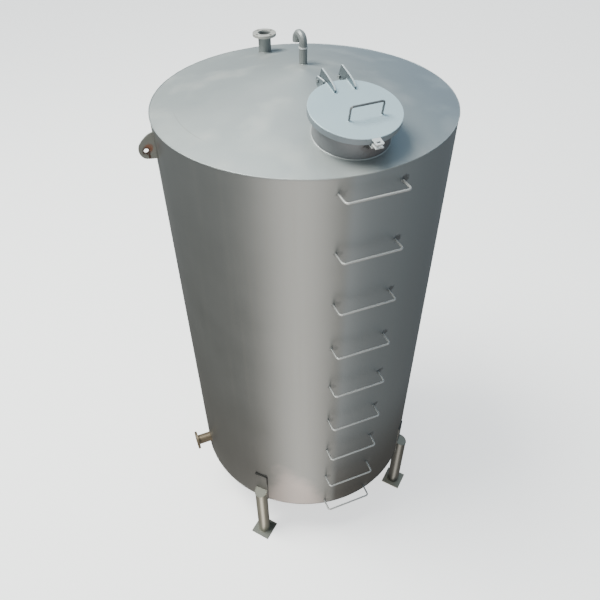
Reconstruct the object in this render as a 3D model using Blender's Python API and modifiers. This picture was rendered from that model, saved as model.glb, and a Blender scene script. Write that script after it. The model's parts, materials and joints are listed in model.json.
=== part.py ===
"""Diesel fuel tank: an upright steel cylinder on four pipe legs, with a shallow cone roof,
a hinged manhole cover, a swan-neck vent, two flanged nozzles, lifting lugs and ladder rungs.

Metres, +Z up, the floor at z = 0. The ladder faces -Y. Directions round the tank are given
in degrees from -Y towards +X, so the right-hand side of somebody facing the ladder is +90.
"""

import math

import bmesh
import bpy

# Fit between pieces that touch
GAP = 0.0003

# Tank body
TANK_RADIUS = 0.800
SHELL_PLATE = 0.005
SHELL_FOOT = 0.451
SHELL_HEIGHT = 2.771
BOTTOM_PLATE = 0.006
ROOF_PLATE = 0.005
ROOF_RISE = 0.160
ROOF_TIP = 0.015
SEGMENTS = 96
AXIS_Y = 0.036
# How far cutting shapes and raw pipes reach past what they meet
CUT_REACH = 0.1
DRILL_REACH = 0.08
SPARE = 0.03

# Manhole on the roof, square to the slope; lifts are measured from the roof surface
MANHOLE_TURN = 1.6
MANHOLE_RADIUS_OUT = 0.534
NECK_RADIUS = 0.183
NECK_WALL = 0.005
NECK_BELOW = 0.06
COVER_RADIUS = 0.214
COVER_PLATE = 0.005
COVER_TOP = 0.135
COVER_EDGE = 0.0012
SKIRT_WALL = 0.004
SKIRT_FOOT = 0.103
MANHOLE_SEGMENTS = 64
PIPE_SEGMENTS = 32

# Cover hinge: two arms on the cover, two lugs on the neck and a short pin on each side.
# Outlines are distances up the slope from the manhole's middle, with lifts
FITTING_X = 0.011
ARM_HALF = 0.0508
HINGE_PLATE = 0.008
HINGE_SIDE_GAP = 0.0027
PIVOT_Y = 0.279
PIVOT_LIFT = 0.105
PIN_RADIUS = 0.006
PIN_HOLE = 0.0065
PIN_HEAD_RADIUS = 0.010
PIN_HEAD = 0.005
PIN_PLAY = 0.001
PIN_SEGMENTS = 24
ARM_FRONT = 0.127
ARM_BACK = 0.2175
ARM_HEEL = (0.232, 0.127)
ARM_EYE_RADIUS = 0.0128
ARM_TOP_EDGE = (
    (0.2768, 0.1675),
    (0.2740, 0.1695),
    (0.1900, 0.1665),
    (0.1500, 0.1605),
    (0.1300, 0.1510),
    (ARM_FRONT, 0.1480),
)
HINGE_LUG_OUTLINE = (
    (0.1500, 0.0400),
    (0.2620, 0.0660),
    (0.2900, 0.0820),
    (0.2965, 0.0960),
    (0.2965, 0.1150),
    (0.2915, 0.1215),
    (0.2280, 0.1370),
    (0.2225, 0.1340),
    (0.2200, 0.0960),
    (0.1500, 0.0960),
)

# Cover handle and hasp
HANDLE_ROD = 0.005
HANDLE_HALF = 0.081
HANDLE_HEIGHT = 0.068
HANDLE_Y = -0.0746
HANDLE_BEND = 0.012
HASP_X = -0.010
HASP_WIDTH = 0.040
HASP_REACH = 0.043
HASP_PLATE = 0.005
HASP_CORNER = 0.005
HASP_SLOT = (0.020, 0.010)
HASP_SLOT_EDGE = 0.016
HASP_TONGUE = 0.113
HASP_CLEAR = 0.0065
HASP_UNDER = 0.0055

# Roof and side nozzles: 73 mm pipe with a 136 mm flange
PIPE_RADIUS = 0.0365
PIPE_WALL = 0.0039
FLANGE_RADIUS = 0.068
FLANGE_BORE = 0.03695
FLANGE_THICK = 0.016
FLANGE_EDGE = 0.001
FLANGE_SEGMENTS = 48
WELD_RECESS = 0.004
BOLT_CIRCLE = 0.0545
BOLT_HOLE = 0.0075
BOLT_SEGMENTS = 16
NOZZLE_FIRST_BOLT = 22.3
OUTLET_FIRST_BOLT = 45.0
ROOF_NOZZLE_RADIUS_OUT = 0.607
ROOF_NOZZLE_FACE = 0.109
OUTLET_HEIGHT = 0.150
OUTLET_REACH = 0.112

# Vent: 42.4 mm pipe a little behind the roof's apex, with a return bend that is turned a little
# from +Y to -X; the collar's heights are over the rim
VENT_AROUND = 160.0
VENT_RADIUS_OUT = 0.110
VENT_RADIUS = 0.0212
VENT_WALL = 0.0032
VENT_COLLAR_FOOT = 0.219
VENT_COLLAR_TOP = 0.227
VENT_COLLAR_OUT = 0.002
VENT_NECK = 0.0225
VENT_BEND = 0.032
VENT_MOUTH = 0.008
VENT_TURN = 10.0

# Ladder rungs
RUNG_COUNT = 9
RUNG_SPACING = 0.3313
RUNG_FIRST = 0.0825
RUNG_HALF = 0.159
RUNG_OUT = 0.8674
RUNG_ROD = 0.006
RUNG_BEND = 0.016
RUNG_BEHIND = 0.77

# Legs: 89.1 mm pipe with a closed sloping top, notched over the shell's lower edge on a pad
# plate that reaches higher up the shell; heights are over the shell's foot
LEG_TURNS = (-45.0, 45.0, 135.0, -135.0)
LEG_RADIUS_OUT = 0.822
LEG_RADIUS = 0.04455
LEG_WALL = 0.0042
LEG_TOP = 0.130
LEG_SLOPE = 23.0
LEG_CAP = 0.006
PAD_TOP = 0.307
PAD_HALF = 0.0447
PAD_PLATE = 0.006
FOOT_SIDE = 0.146
FOOT_PLATE = 0.010
FOOT_TWIST = -6.0

# Lifting lugs near the rim: rounded ears, as distances out from the shell and down from the rim
LUG_PLATE = 0.010
LUG_EDGE = (
    (GAP, 0.0310),
    (GAP, 0.1730),
    (0.0317, 0.1700),
    (0.0523, 0.1665),
    (0.0650, 0.1615),
    (0.0740, 0.1535),
    (0.0832, 0.1380),
    (0.0866, 0.1270),
    (0.0870, 0.1170),
    (0.0860, 0.1055),
    (0.0830, 0.0960),
    (0.0783, 0.0871),
    (0.0646, 0.0695),
    (0.0428, 0.0497),
    (0.0310, 0.0420),
    (0.0198, 0.0365),
)
LUG_EYE_OUT = 0.050
LUG_EYE_DROP = 0.122
LUG_EYE_RADIUS = 0.0125

RIM = SHELL_FOOT + SHELL_HEIGHT
APEX = RIM + ROOF_RISE
SLOPE = math.atan2(ROOF_RISE, TANK_RADIUS)

PAINT = (0.52, 0.54, 0.54, 1.0)
PALE_PAINT = (0.60, 0.63, 0.63, 1.0)
DULL_PAINT = (0.40, 0.41, 0.41, 1.0)
RUNG_PAINT = (0.66, 0.68, 0.68, 1.0)
BARE_STEEL = (0.42, 0.40, 0.38, 1.0)

for old in list(bpy.data.objects):
    bpy.data.objects.remove(old, do_unlink=True)

parts = bpy.data.collections.new("diesel_fuel_tank")
cutters = bpy.data.collections.new("cutters")
bpy.context.scene.collection.children.link(parts)
bpy.context.scene.collection.children.link(cutters)


def roof_height(radius_out):
    """Height of the roof's upper surface at a distance from the tank's axis."""
    return APEX - radius_out * ROOF_RISE / TANK_RADIUS


def around(turn, radius_out, height=0.0):
    """The point at a direction round the tank, a distance from its axis and a height."""
    angle = math.radians(turn)
    return (radius_out * math.sin(angle), -radius_out * math.cos(angle), height)


def frame_empty(name, location, rotation=(0.0, 0.0, 0.0), parent=None):
    """An empty that other pieces are placed by."""
    empty = bpy.data.objects.new(name, None)
    empty.empty_display_size = 0.1
    parts.objects.link(empty)
    empty.parent = parent
    empty.location = location
    empty.rotation_euler = rotation
    return empty


def shade_round(mesh):
    """Smooth faces with the real corners kept sharp."""
    mesh.shade_smooth()
    mesh.set_sharp_from_angle(angle=math.radians(35.0))


def place(name, data, parent, location=(0.0, 0.0, 0.0), rotation=(0.0, 0.0, 0.0), collection=None):
    """A new object for a mesh or a curve, placed in its parent's frame."""
    obj = bpy.data.objects.new(name, data)
    (collection or parts).objects.link(obj)
    obj.parent = parent
    obj.location = location
    obj.rotation_euler = rotation
    return obj


def baked(obj, name):
    """The object's evaluated mesh, with loose caps welded; the object itself is removed."""
    bpy.context.view_layer.update()
    graph = bpy.context.evaluated_depsgraph_get()
    mesh = bpy.data.meshes.new_from_object(obj.evaluated_get(graph))
    mesh.name = name
    work = bmesh.new()
    work.from_mesh(mesh)
    bmesh.ops.remove_doubles(work, verts=work.verts, dist=0.00001)
    bmesh.ops.recalc_face_normals(work, faces=work.faces)
    work.to_mesh(mesh)
    work.free()
    bpy.data.objects.remove(obj, do_unlink=True)
    shade_round(mesh)
    return mesh


def turned(name, profile, closed, segments=SEGMENTS):
    """A mesh turned about Z from (radius, height) points, top to bottom on its outer side."""
    edges = [(i, i + 1) for i in range(len(profile) - 1)]
    if closed:
        edges.append((len(profile) - 1, 0))
    mesh = bpy.data.meshes.new(name)
    mesh.from_pydata([(r, 0.0, z) for r, z in profile], edges, [])
    obj = bpy.data.objects.new(name, mesh)
    parts.objects.link(obj)
    screw = obj.modifiers.new("turn", "SCREW")
    screw.axis = "Z"
    screw.angle = 2.0 * math.pi
    screw.steps = segments
    screw.render_steps = segments
    screw.use_merge_vertices = True
    screw.merge_threshold = 0.0001
    return baked(obj, name)


def ring_profile(inner, outer, foot, top):
    """A tube's wall, as the closed profile of a turned shape."""
    return [(outer, top), (outer, foot), (inner, foot), (inner, top)]


def disc_profile(radius, foot, top):
    """A solid disc or rod, as a profile that starts and ends on the axis."""
    return [(0.0, top), (radius, top), (radius, foot), (0.0, foot)]


def box_mesh(name, size):
    """A box centred on its own origin."""
    work = bmesh.new()
    bmesh.ops.create_cube(work, size=1.0)
    bmesh.ops.scale(work, vec=size, verts=work.verts)
    mesh = bpy.data.meshes.new(name)
    work.to_mesh(mesh)
    work.free()
    return mesh


def arc(centre, radius, start, end, steps):
    """Points along an arc in a plane, angles in degrees."""
    points = []
    for i in range(steps + 1):
        angle = math.radians(start + (end - start) * i / steps)
        points.append((centre[0] + radius * math.cos(angle), centre[1] + radius * math.sin(angle)))
    return points


def plate_mesh(name, outline, thickness, holes=()):
    """A flat plate from its outline, with holes, lying in its own XY plane."""
    curve = bpy.data.curves.new(name, "CURVE")
    curve.dimensions = "2D"
    curve.fill_mode = "BOTH"
    curve.extrude = thickness / 2.0
    for points in (outline, *holes):
        spline = curve.splines.new("POLY")
        spline.points.add(len(points) - 1)
        for point, (x, y) in zip(spline.points, points):
            point.co = (x, y, 0.0, 1.0)
        spline.use_cyclic_u = True
    obj = bpy.data.objects.new(name, curve)
    parts.objects.link(obj)
    mesh = baked(obj, name)
    bpy.data.curves.remove(curve)
    return mesh


def rod_mesh(name, path, radius, resolution=2, wall=0.0):
    """A bent rod along a path of points, or an open pipe if it has a wall."""
    curve = bpy.data.curves.new(name, "CURVE")
    curve.dimensions = "3D"
    curve.bevel_depth = radius
    curve.bevel_resolution = resolution
    curve.use_fill_caps = wall == 0.0
    spline = curve.splines.new("POLY")
    spline.points.add(len(path) - 1)
    for point, (x, y, z) in zip(spline.points, path):
        point.co = (x, y, z, 1.0)
    obj = bpy.data.objects.new(name, curve)
    parts.objects.link(obj)
    if wall:
        solid = obj.modifiers.new("wall", "SOLIDIFY")
        solid.thickness = wall
        solid.offset = -1.0
        solid.use_even_offset = True
    mesh = baked(obj, name)
    bpy.data.curves.remove(curve)
    return mesh


def cutter(name, mesh, parent, location=(0.0, 0.0, 0.0), rotation=(0.0, 0.0, 0.0)):
    """A shape that only cuts other pieces."""
    obj = place(name, mesh, parent, location, rotation, cutters)
    obj.hide_render = True
    obj.display_type = "WIRE"
    return obj


def cut(obj, tool, operation="DIFFERENCE"):
    """Cuts a piece with another shape."""
    boolean = obj.modifiers.new("cut_" + tool.name, "BOOLEAN")
    boolean.object = tool
    boolean.operation = operation
    boolean.solver = "EXACT"
    return obj


def paint(obj, colour=PAINT, roughness=0.42, metallic=0.25):
    """Gives a piece a material of its own."""
    material = bpy.data.materials.new(obj.name + "_finish")
    material.use_nodes = True
    shader = material.node_tree.nodes["Principled BSDF"]
    shader.inputs["Base Color"].default_value = colour
    shader.inputs["Roughness"].default_value = roughness
    shader.inputs["Metallic"].default_value = metallic
    if not obj.data.materials:
        obj.data.materials.append(None)
    obj.material_slots[0].link = "OBJECT"
    obj.material_slots[0].material = material
    return obj


tank = frame_empty("tank_axis", (0.0, AXIS_Y, 0.0))

# Shapes that the fittings are cut by: the shell's outside and everything under the roof
shell_outside = cutter(
    "shell_outside",
    turned("shell_outside", disc_profile(TANK_RADIUS + GAP, SHELL_FOOT - GAP, RIM + CUT_REACH), False),
    tank,
)
roof_far = TANK_RADIUS + CUT_REACH
under_roof = cutter(
    "under_roof",
    turned(
        "under_roof",
        [
            (0.0, APEX + GAP),
            (roof_far, roof_height(roof_far) + GAP),
            (roof_far, SHELL_FOOT),
            (0.0, SHELL_FOOT),
        ],
        False,
    ),
    tank,
)

# Tank body
shell_top = RIM - ROOF_PLATE - GAP
shell = place(
    "tank_shell",
    turned(
        "tank_shell",
        ring_profile(TANK_RADIUS - SHELL_PLATE, TANK_RADIUS, SHELL_FOOT + BOTTOM_PLATE + GAP, shell_top),
        True,
    ),
    tank,
)
bottom = place(
    "bottom_plate",
    turned("bottom_plate", disc_profile(TANK_RADIUS, SHELL_FOOT, SHELL_FOOT + BOTTOM_PLATE), False),
    tank,
)
roof = place(
    "roof_cone",
    turned(
        "roof_cone",
        [
            (0.0, roof_height(ROOF_TIP)),
            (ROOF_TIP, roof_height(ROOF_TIP)),
            (TANK_RADIUS, RIM),
            (TANK_RADIUS, RIM - ROOF_PLATE),
            (ROOF_TIP, roof_height(ROOF_TIP) - ROOF_PLATE),
            (0.0, roof_height(ROOF_TIP) - ROOF_PLATE),
        ],
        False,
    ),
    tank,
)

# Manhole frame: on the roof surface, its Y pointing up the slope and its Z square to the roof
manhole = frame_empty(
    "manhole_frame",
    around(MANHOLE_TURN, MANHOLE_RADIUS_OUT, roof_height(MANHOLE_RADIUS_OUT)),
    (SLOPE, 0.0, math.radians(MANHOLE_TURN)),
    tank,
)
neck_bore = NECK_RADIUS - NECK_WALL
manhole_hole = cutter(
    "manhole_hole",
    turned("manhole_hole", disc_profile(neck_bore, -DRILL_REACH, DRILL_REACH), False, MANHOLE_SEGMENTS),
    manhole,
)
cut(roof, manhole_hole)
neck_top = COVER_TOP - COVER_PLATE - GAP
neck = place(
    "manhole_neck",
    turned(
        "manhole_neck",
        ring_profile(neck_bore, NECK_RADIUS, -NECK_BELOW, neck_top),
        True,
        MANHOLE_SEGMENTS,
    ),
    manhole,
)
cut(neck, under_roof)

# Cover, placed by an empty on the hinge pin's axis
hinge = frame_empty("cover_hinge", (0.0, PIVOT_Y, PIVOT_LIFT), parent=manhole)
to_cover = (0.0, -PIVOT_Y, -PIVOT_LIFT)
cover = place(
    "cover_plate",
    turned(
        "cover_plate",
        [
            (0.0, COVER_TOP),
            (COVER_RADIUS - COVER_EDGE, COVER_TOP),
            (COVER_RADIUS, COVER_TOP - COVER_EDGE),
            (COVER_RADIUS, COVER_TOP - COVER_PLATE),
            (0.0, COVER_TOP - COVER_PLATE),
        ],
        False,
        MANHOLE_SEGMENTS,
    ),
    hinge,
    to_cover,
)
skirt = place(
    "cover_skirt",
    turned(
        "cover_skirt",
        ring_profile(COVER_RADIUS - SKIRT_WALL, COVER_RADIUS, SKIRT_FOOT, COVER_TOP - COVER_PLATE - GAP),
        True,
        MANHOLE_SEGMENTS,
    ),
    hinge,
    to_cover,
)

# Handle: a round bar bent up from the cover and across
foot = COVER_TOP + GAP
bar = COVER_TOP + HANDLE_HEIGHT
left_bend = arc((-HANDLE_HALF + HANDLE_BEND, bar - HANDLE_BEND), HANDLE_BEND, 180.0, 90.0, 4)
right_bend = arc((HANDLE_HALF - HANDLE_BEND, bar - HANDLE_BEND), HANDLE_BEND, 90.0, 0.0, 4)
handle_path = [(-HANDLE_HALF, foot), *left_bend, *right_bend, (HANDLE_HALF, foot)]
handle = place(
    "cover_handle",
    rod_mesh("cover_handle", [(x + FITTING_X, HANDLE_Y, z) for x, z in handle_path], HANDLE_ROD),
    hinge,
    to_cover,
)

# Hinge arms: plates that stand on edge along the cover and turn down to the pin behind it
upright = (math.radians(90.0), 0.0, math.radians(90.0))
pin_hole = arc((PIVOT_Y, PIVOT_LIFT), PIN_HOLE, 0.0, 345.0, 23)
arm_outline = [
    (ARM_FRONT, COVER_TOP + GAP),
    (ARM_BACK, COVER_TOP + GAP),
    ARM_HEEL,
    *arc((PIVOT_Y, PIVOT_LIFT), ARM_EYE_RADIUS, 235.0, 372.0, 9),
    *ARM_TOP_EDGE,
]
arm_mesh = plate_mesh("hinge_arm", arm_outline, HINGE_PLATE, [pin_hole])
arms = []
for side, name in ((-1.0, "left"), (1.0, "right")):
    x = FITTING_X + side * ARM_HALF
    arms.append(place("hinge_arm_" + name, arm_mesh.copy(), hinge, (x, -PIVOT_Y, -PIVOT_LIFT), upright))

# Hinge lugs: plates on the back of the neck, outside the arms
lug_side = ARM_HALF + HINGE_PLATE + HINGE_SIDE_GAP
lug_mesh = plate_mesh("hinge_lug", HINGE_LUG_OUTLINE, HINGE_PLATE, [pin_hole])
neck_outside = cutter(
    "neck_outside",
    turned(
        "neck_outside",
        disc_profile(NECK_RADIUS + GAP, -NECK_BELOW, COVER_TOP),
        False,
        MANHOLE_SEGMENTS,
    ),
    manhole,
)
hinge_lugs = []
for side, name in ((-1.0, "left"), (1.0, "right")):
    x = FITTING_X + side * lug_side
    lug = place("hinge_lug_" + name, lug_mesh.copy(), manhole, (x, 0.0, 0.0), upright)
    hinge_lugs.append(cut(lug, neck_outside))

# Hinge pins, each through a lug and an arm with a head at both ends, along the left-right line
pin_outer = lug_side + HINGE_PLATE / 2.0 + GAP
pin_inner = ARM_HALF - HINGE_PLATE / 2.0 - PIN_PLAY
pin_mesh = turned(
    "hinge_pin",
    [
        (0.0, pin_outer + PIN_HEAD),
        (PIN_HEAD_RADIUS, pin_outer + PIN_HEAD),
        (PIN_HEAD_RADIUS, pin_outer),
        (PIN_RADIUS, pin_outer),
        (PIN_RADIUS, pin_inner),
        (PIN_HEAD_RADIUS, pin_inner),
        (PIN_HEAD_RADIUS, pin_inner - PIN_HEAD),
        (0.0, pin_inner - PIN_HEAD),
    ],
    False,
    PIN_SEGMENTS,
)
pins = []
for side, name in ((-1.0, "left"), (1.0, "right")):
    sideways = (0.0, side * math.radians(90.0), 0.0)
    at = (FITTING_X, PIVOT_Y, PIVOT_LIFT)
    pins.append(place("hinge_pin_" + name, pin_mesh.copy(), manhole, at, sideways))

# Hasp: a slotted tab on the cover's edge, and a strap from the neck that passes under the skirt
# and turns up in front of it to a slotted tongue below the tab
half = HASP_WIDTH / 2.0
slot_x = HASP_SLOT[0] / 2.0
slot_y = HASP_SLOT[1] / 2.0
hasp_tip = -(COVER_RADIUS + HASP_REACH)
slot_centre = hasp_tip + HASP_SLOT_EDGE
tab_inner = -COVER_RADIUS + 2.0 * HASP_PLATE
tab_outline = [
    (-half, tab_inner),
    (-half, hasp_tip + HASP_CORNER),
    (-half + HASP_CORNER, hasp_tip),
    (half - HASP_CORNER, hasp_tip),
    (half, hasp_tip + HASP_CORNER),
    (half, tab_inner),
]
slot = [
    (-slot_x, slot_centre - slot_y),
    (slot_x, slot_centre - slot_y),
    (slot_x, slot_centre + slot_y),
    (-slot_x, slot_centre + slot_y),
]
cover_outside = cutter(
    "cover_outside",
    turned(
        "cover_outside",
        disc_profile(COVER_RADIUS + GAP, SKIRT_FOOT, COVER_TOP + 2.0 * COVER_PLATE),
        False,
        MANHOLE_SEGMENTS,
    ),
    manhole,
)
hasp_cover = place(
    "hasp_tab_cover",
    plate_mesh("hasp_tab_cover", tab_outline, HASP_PLATE, [slot]),
    hinge,
    (HASP_X, -PIVOT_Y, COVER_TOP - HASP_PLATE / 2.0 - PIVOT_LIFT),
)
cut(hasp_cover, cover_outside)

strap_inner = -(COVER_RADIUS + HASP_CLEAR)
strap_outer = strap_inner - HASP_PLATE
strap_top = SKIRT_FOOT - HASP_UNDER
strap_root = -NECK_RADIUS + 2.0 * HASP_PLATE
tongue_top = HASP_TONGUE + HASP_PLATE / 2.0
strap_outline = [
    (strap_root, strap_top),
    (strap_root, strap_top - HASP_PLATE),
    (strap_outer, strap_top - HASP_PLATE),
    (strap_outer, tongue_top - HASP_PLATE),
    (hasp_tip, tongue_top - HASP_PLATE),
    (hasp_tip, tongue_top),
    (strap_inner, tongue_top),
    (strap_inner, strap_top),
]
hasp_neck = place(
    "hasp_tab_neck",
    plate_mesh("hasp_tab_neck", strap_outline, HASP_WIDTH),
    manhole,
    (HASP_X, 0.0, 0.0),
    upright,
)
cut(hasp_neck, neck_outside)
tongue_slot = cutter(
    "tongue_slot",
    box_mesh("tongue_slot", (HASP_SLOT[0], HASP_SLOT[1], 4.0 * HASP_PLATE)),
    manhole,
    (HASP_X, slot_centre, HASP_TONGUE),
)
cut(hasp_neck, tongue_slot)

# Flange, turned about its own axis with its face at zero
flange_base = turned(
    "flange",
    [
        (FLANGE_RADIUS - FLANGE_EDGE, 0.0),
        (FLANGE_RADIUS, -FLANGE_EDGE),
        (FLANGE_RADIUS, -FLANGE_THICK + FLANGE_EDGE),
        (FLANGE_RADIUS - FLANGE_EDGE, -FLANGE_THICK),
        (FLANGE_BORE, -FLANGE_THICK),
        (FLANGE_BORE, 0.0),
    ],
    True,
    FLANGE_SEGMENTS,
)
bolt_drill = turned("bolt_drill", disc_profile(BOLT_HOLE, -SPARE, SPARE), False, BOLT_SEGMENTS)


def flange(name, location, rotation, first_bolt):
    """A flange with four bolt holes, its holes turned by first_bolt degrees."""
    obj = place(name, flange_base.copy(), tank, location, rotation)
    for i in range(4):
        angle = math.radians(first_bolt + 90.0 * i)
        at = (BOLT_CIRCLE * math.cos(angle), BOLT_CIRCLE * math.sin(angle), 0.0)
        drill = cutter(name + "_drill_" + str(i + 1), bolt_drill, obj, at)
        cut(obj, drill)
    return obj


# Roof nozzle, opposite the ladder
pipe_bore = PIPE_RADIUS - PIPE_WALL
nozzle_at = around(180.0, ROOF_NOZZLE_RADIUS_OUT)
nozzle_foot = roof_height(ROOF_NOZZLE_RADIUS_OUT)
nozzle_face = nozzle_foot + ROOF_NOZZLE_FACE
nozzle_pipe = place(
    "roof_nozzle_pipe",
    turned(
        "roof_nozzle_pipe",
        ring_profile(pipe_bore, PIPE_RADIUS, nozzle_foot - SPARE, nozzle_face - WELD_RECESS),
        True,
        PIPE_SEGMENTS,
    ),
    tank,
    nozzle_at,
)
cut(nozzle_pipe, under_roof)
nozzle_hole = cutter(
    "nozzle_hole",
    turned(
        "nozzle_hole",
        disc_profile(pipe_bore, nozzle_foot - DRILL_REACH, nozzle_foot + DRILL_REACH),
        False,
        PIPE_SEGMENTS,
    ),
    tank,
    nozzle_at,
)
cut(roof, nozzle_hole)
nozzle_flange = flange(
    "roof_nozzle_flange", (nozzle_at[0], nozzle_at[1], nozzle_face), (0.0, 0.0, 0.0), NOZZLE_FIRST_BOLT
)

# Outlet nozzle low on the left side
outlet_height = SHELL_FOOT + OUTLET_HEIGHT
outlet_face = TANK_RADIUS + OUTLET_REACH
point_left = (0.0, math.radians(-90.0), 0.0)
outlet_pipe = place(
    "outlet_pipe",
    turned(
        "outlet_pipe",
        ring_profile(pipe_bore, PIPE_RADIUS, TANK_RADIUS - SPARE, outlet_face - WELD_RECESS),
        True,
        PIPE_SEGMENTS,
    ),
    tank,
    (0.0, 0.0, outlet_height),
    point_left,
)
cut(outlet_pipe, shell_outside)
outlet_hole = cutter(
    "outlet_hole",
    turned(
        "outlet_hole",
        disc_profile(pipe_bore, TANK_RADIUS - DRILL_REACH, TANK_RADIUS + DRILL_REACH),
        False,
        PIPE_SEGMENTS,
    ),
    tank,
    (0.0, 0.0, outlet_height),
    point_left,
)
cut(shell, outlet_hole)
outlet_flange = flange("outlet_flange", (-outlet_face, 0.0, outlet_height), point_left, OUTLET_FIRST_BOLT)

# Vent: riser, collar and return bend
vent_bore = VENT_RADIUS - VENT_WALL
collar_foot = RIM + VENT_COLLAR_FOOT
collar_top = RIM + VENT_COLLAR_TOP
vent_at = around(VENT_AROUND, VENT_RADIUS_OUT)
vent_foot = roof_height(VENT_RADIUS_OUT)
riser = place(
    "vent_riser",
    turned(
        "vent_riser",
        ring_profile(vent_bore, VENT_RADIUS, vent_foot - SPARE, collar_foot - GAP),
        True,
        PIPE_SEGMENTS,
    ),
    tank,
    vent_at,
)
cut(riser, under_roof)
vent_hole = cutter(
    "vent_hole",
    turned(
        "vent_hole",
        disc_profile(vent_bore, vent_foot - DRILL_REACH, vent_foot + DRILL_REACH),
        False,
        PIPE_SEGMENTS,
    ),
    tank,
    vent_at,
)
cut(roof, vent_hole)
collar = place(
    "vent_collar",
    turned(
        "vent_collar",
        ring_profile(vent_bore, VENT_RADIUS + VENT_COLLAR_OUT, collar_foot, collar_top),
        True,
        PIPE_SEGMENTS,
    ),
    tank,
    vent_at,
)
bend_foot = collar_top + GAP
gooseneck_path = [(0.0, 0.0, bend_foot)]
for y, z in arc((VENT_BEND, bend_foot + VENT_NECK), VENT_BEND, 180.0, 0.0, 14):
    gooseneck_path.append((0.0, y, z))
gooseneck_path.append((0.0, 2.0 * VENT_BEND, bend_foot + VENT_MOUTH))
gooseneck = place(
    "vent_gooseneck",
    rod_mesh("vent_gooseneck", gooseneck_path, VENT_RADIUS, 3, VENT_WALL),
    tank,
    vent_at,
    (0.0, 0.0, math.radians(VENT_TURN)),
)

# Lifting lugs: upright plates on the left and right of the rim
lug_eye = arc((TANK_RADIUS + LUG_EYE_OUT, -LUG_EYE_DROP), LUG_EYE_RADIUS, 0.0, 337.5, 15)
lifting_outline = [(TANK_RADIUS + out, -drop) for out, drop in LUG_EDGE]
lifting_mesh = plate_mesh("lifting_lug", lifting_outline, LUG_PLATE, [lug_eye])
stand_up = math.radians(90.0)
lug_right = place("lifting_lug_right", lifting_mesh.copy(), tank, (0.0, 0.0, RIM), (stand_up, 0.0, 0.0))
lug_left = place("lifting_lug_left", lifting_mesh.copy(), tank, (0.0, 0.0, RIM), (stand_up, 0.0, math.pi))

# Ladder rungs: bars bent to a U, their ends cut to the shell
left_bend = arc((-RUNG_HALF + RUNG_BEND, -RUNG_OUT + RUNG_BEND), RUNG_BEND, 180.0, 270.0, 4)
right_bend = arc((RUNG_HALF - RUNG_BEND, -RUNG_OUT + RUNG_BEND), RUNG_BEND, 270.0, 360.0, 4)
rung_path = [(-RUNG_HALF, -RUNG_BEHIND), *left_bend, *right_bend, (RUNG_HALF, -RUNG_BEHIND)]
rung_source = place("rung", rod_mesh("rung", [(x, y, 0.0) for x, y in rung_path], RUNG_ROD), None)
rung_tool = cutter(
    "rung_tool",
    turned("rung_tool", disc_profile(TANK_RADIUS + GAP, -CUT_REACH, CUT_REACH), False),
    None,
)
rung_mesh = baked(cut(rung_source, rung_tool), "rung")
rungs = []
for i in range(RUNG_COUNT):
    height = RIM - RUNG_FIRST - i * RUNG_SPACING
    rungs.append(place("rung_" + str(i + 1), rung_mesh.copy(), tank, (0.0, 0.0, height)))

# Legs: the first is made at its own direction, the others are turned copies of it
leg_turn = math.radians(LEG_TURNS[0])
leg_angle = math.radians(LEG_SLOPE)
leg_at = around(LEG_TURNS[0], LEG_RADIUS_OUT)
leg_foot = FOOT_PLATE + GAP
leg_end = SHELL_FOOT + LEG_TOP
pad_face = TANK_RADIUS + GAP + PAD_PLATE
slope_line = around(LEG_TURNS[0], pad_face, leg_end)
block = 4.0 * CUT_REACH


def above_slope(name, drop):
    """A block over the leg's sloping top, lowered square to it by drop."""
    middle = block / 2.0 - drop
    out = math.sin(leg_angle) * middle
    at = (
        slope_line[0] + math.sin(leg_turn) * out,
        slope_line[1] - math.cos(leg_turn) * out,
        slope_line[2] + math.cos(leg_angle) * middle,
    )
    return cutter(name, box_mesh(name, (block, block, block)), tank, at, (leg_angle, 0.0, leg_turn))


leg_bore = cutter(
    "leg_bore",
    turned(
        "leg_bore",
        disc_profile(LEG_RADIUS - LEG_WALL, leg_foot - DRILL_REACH, leg_end + DRILL_REACH),
        False,
        PIPE_SEGMENTS,
    ),
    tank,
    leg_at,
)
cut(leg_bore, above_slope("over_bore", LEG_CAP))
pad_outside = cutter(
    "pad_outside",
    turned("pad_outside", disc_profile(pad_face + GAP, SHELL_FOOT - GAP, RIM), False),
    tank,
)
leg_pipe = place(
    "leg_pipe",
    turned("leg_pipe", disc_profile(LEG_RADIUS, leg_foot, leg_end + DRILL_REACH), False, PIPE_SEGMENTS),
    tank,
    leg_at,
)
cut(leg_pipe, pad_outside)
cut(leg_pipe, above_slope("over_pipe", 0.0))
cut(leg_pipe, leg_bore)

# Pad: the stretch of a ring round the shell that lies within a block as wide as the leg
leg_pad = place(
    "leg_pad",
    turned(
        "leg_pad",
        ring_profile(TANK_RADIUS + GAP, pad_face, SHELL_FOOT, SHELL_FOOT + PAD_TOP),
        True,
    ),
    tank,
)
pad_width = cutter(
    "pad_width",
    box_mesh("pad_width", (2.0 * PAD_HALF, 20.0 * PAD_PLATE, 2.0 * PAD_TOP)),
    tank,
    around(LEG_TURNS[0], TANK_RADIUS, SHELL_FOOT + PAD_TOP / 2.0),
    (0.0, 0.0, leg_turn),
)
cut(leg_pad, pad_width, "INTERSECT")
foot_mesh = box_mesh("leg_base_plate", (FOOT_SIDE, FOOT_SIDE, FOOT_PLATE))

bpy.context.view_layer.update()
graph = bpy.context.evaluated_depsgraph_get()
leg_meshes = {}
for source in (leg_pipe, leg_pad):
    mesh = bpy.data.meshes.new_from_object(source.evaluated_get(graph))
    mesh.transform(source.matrix_local)
    shade_round(mesh)
    leg_meshes[source.name] = mesh
for source in (leg_pipe, leg_pad):
    bpy.data.objects.remove(source, do_unlink=True)

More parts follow.
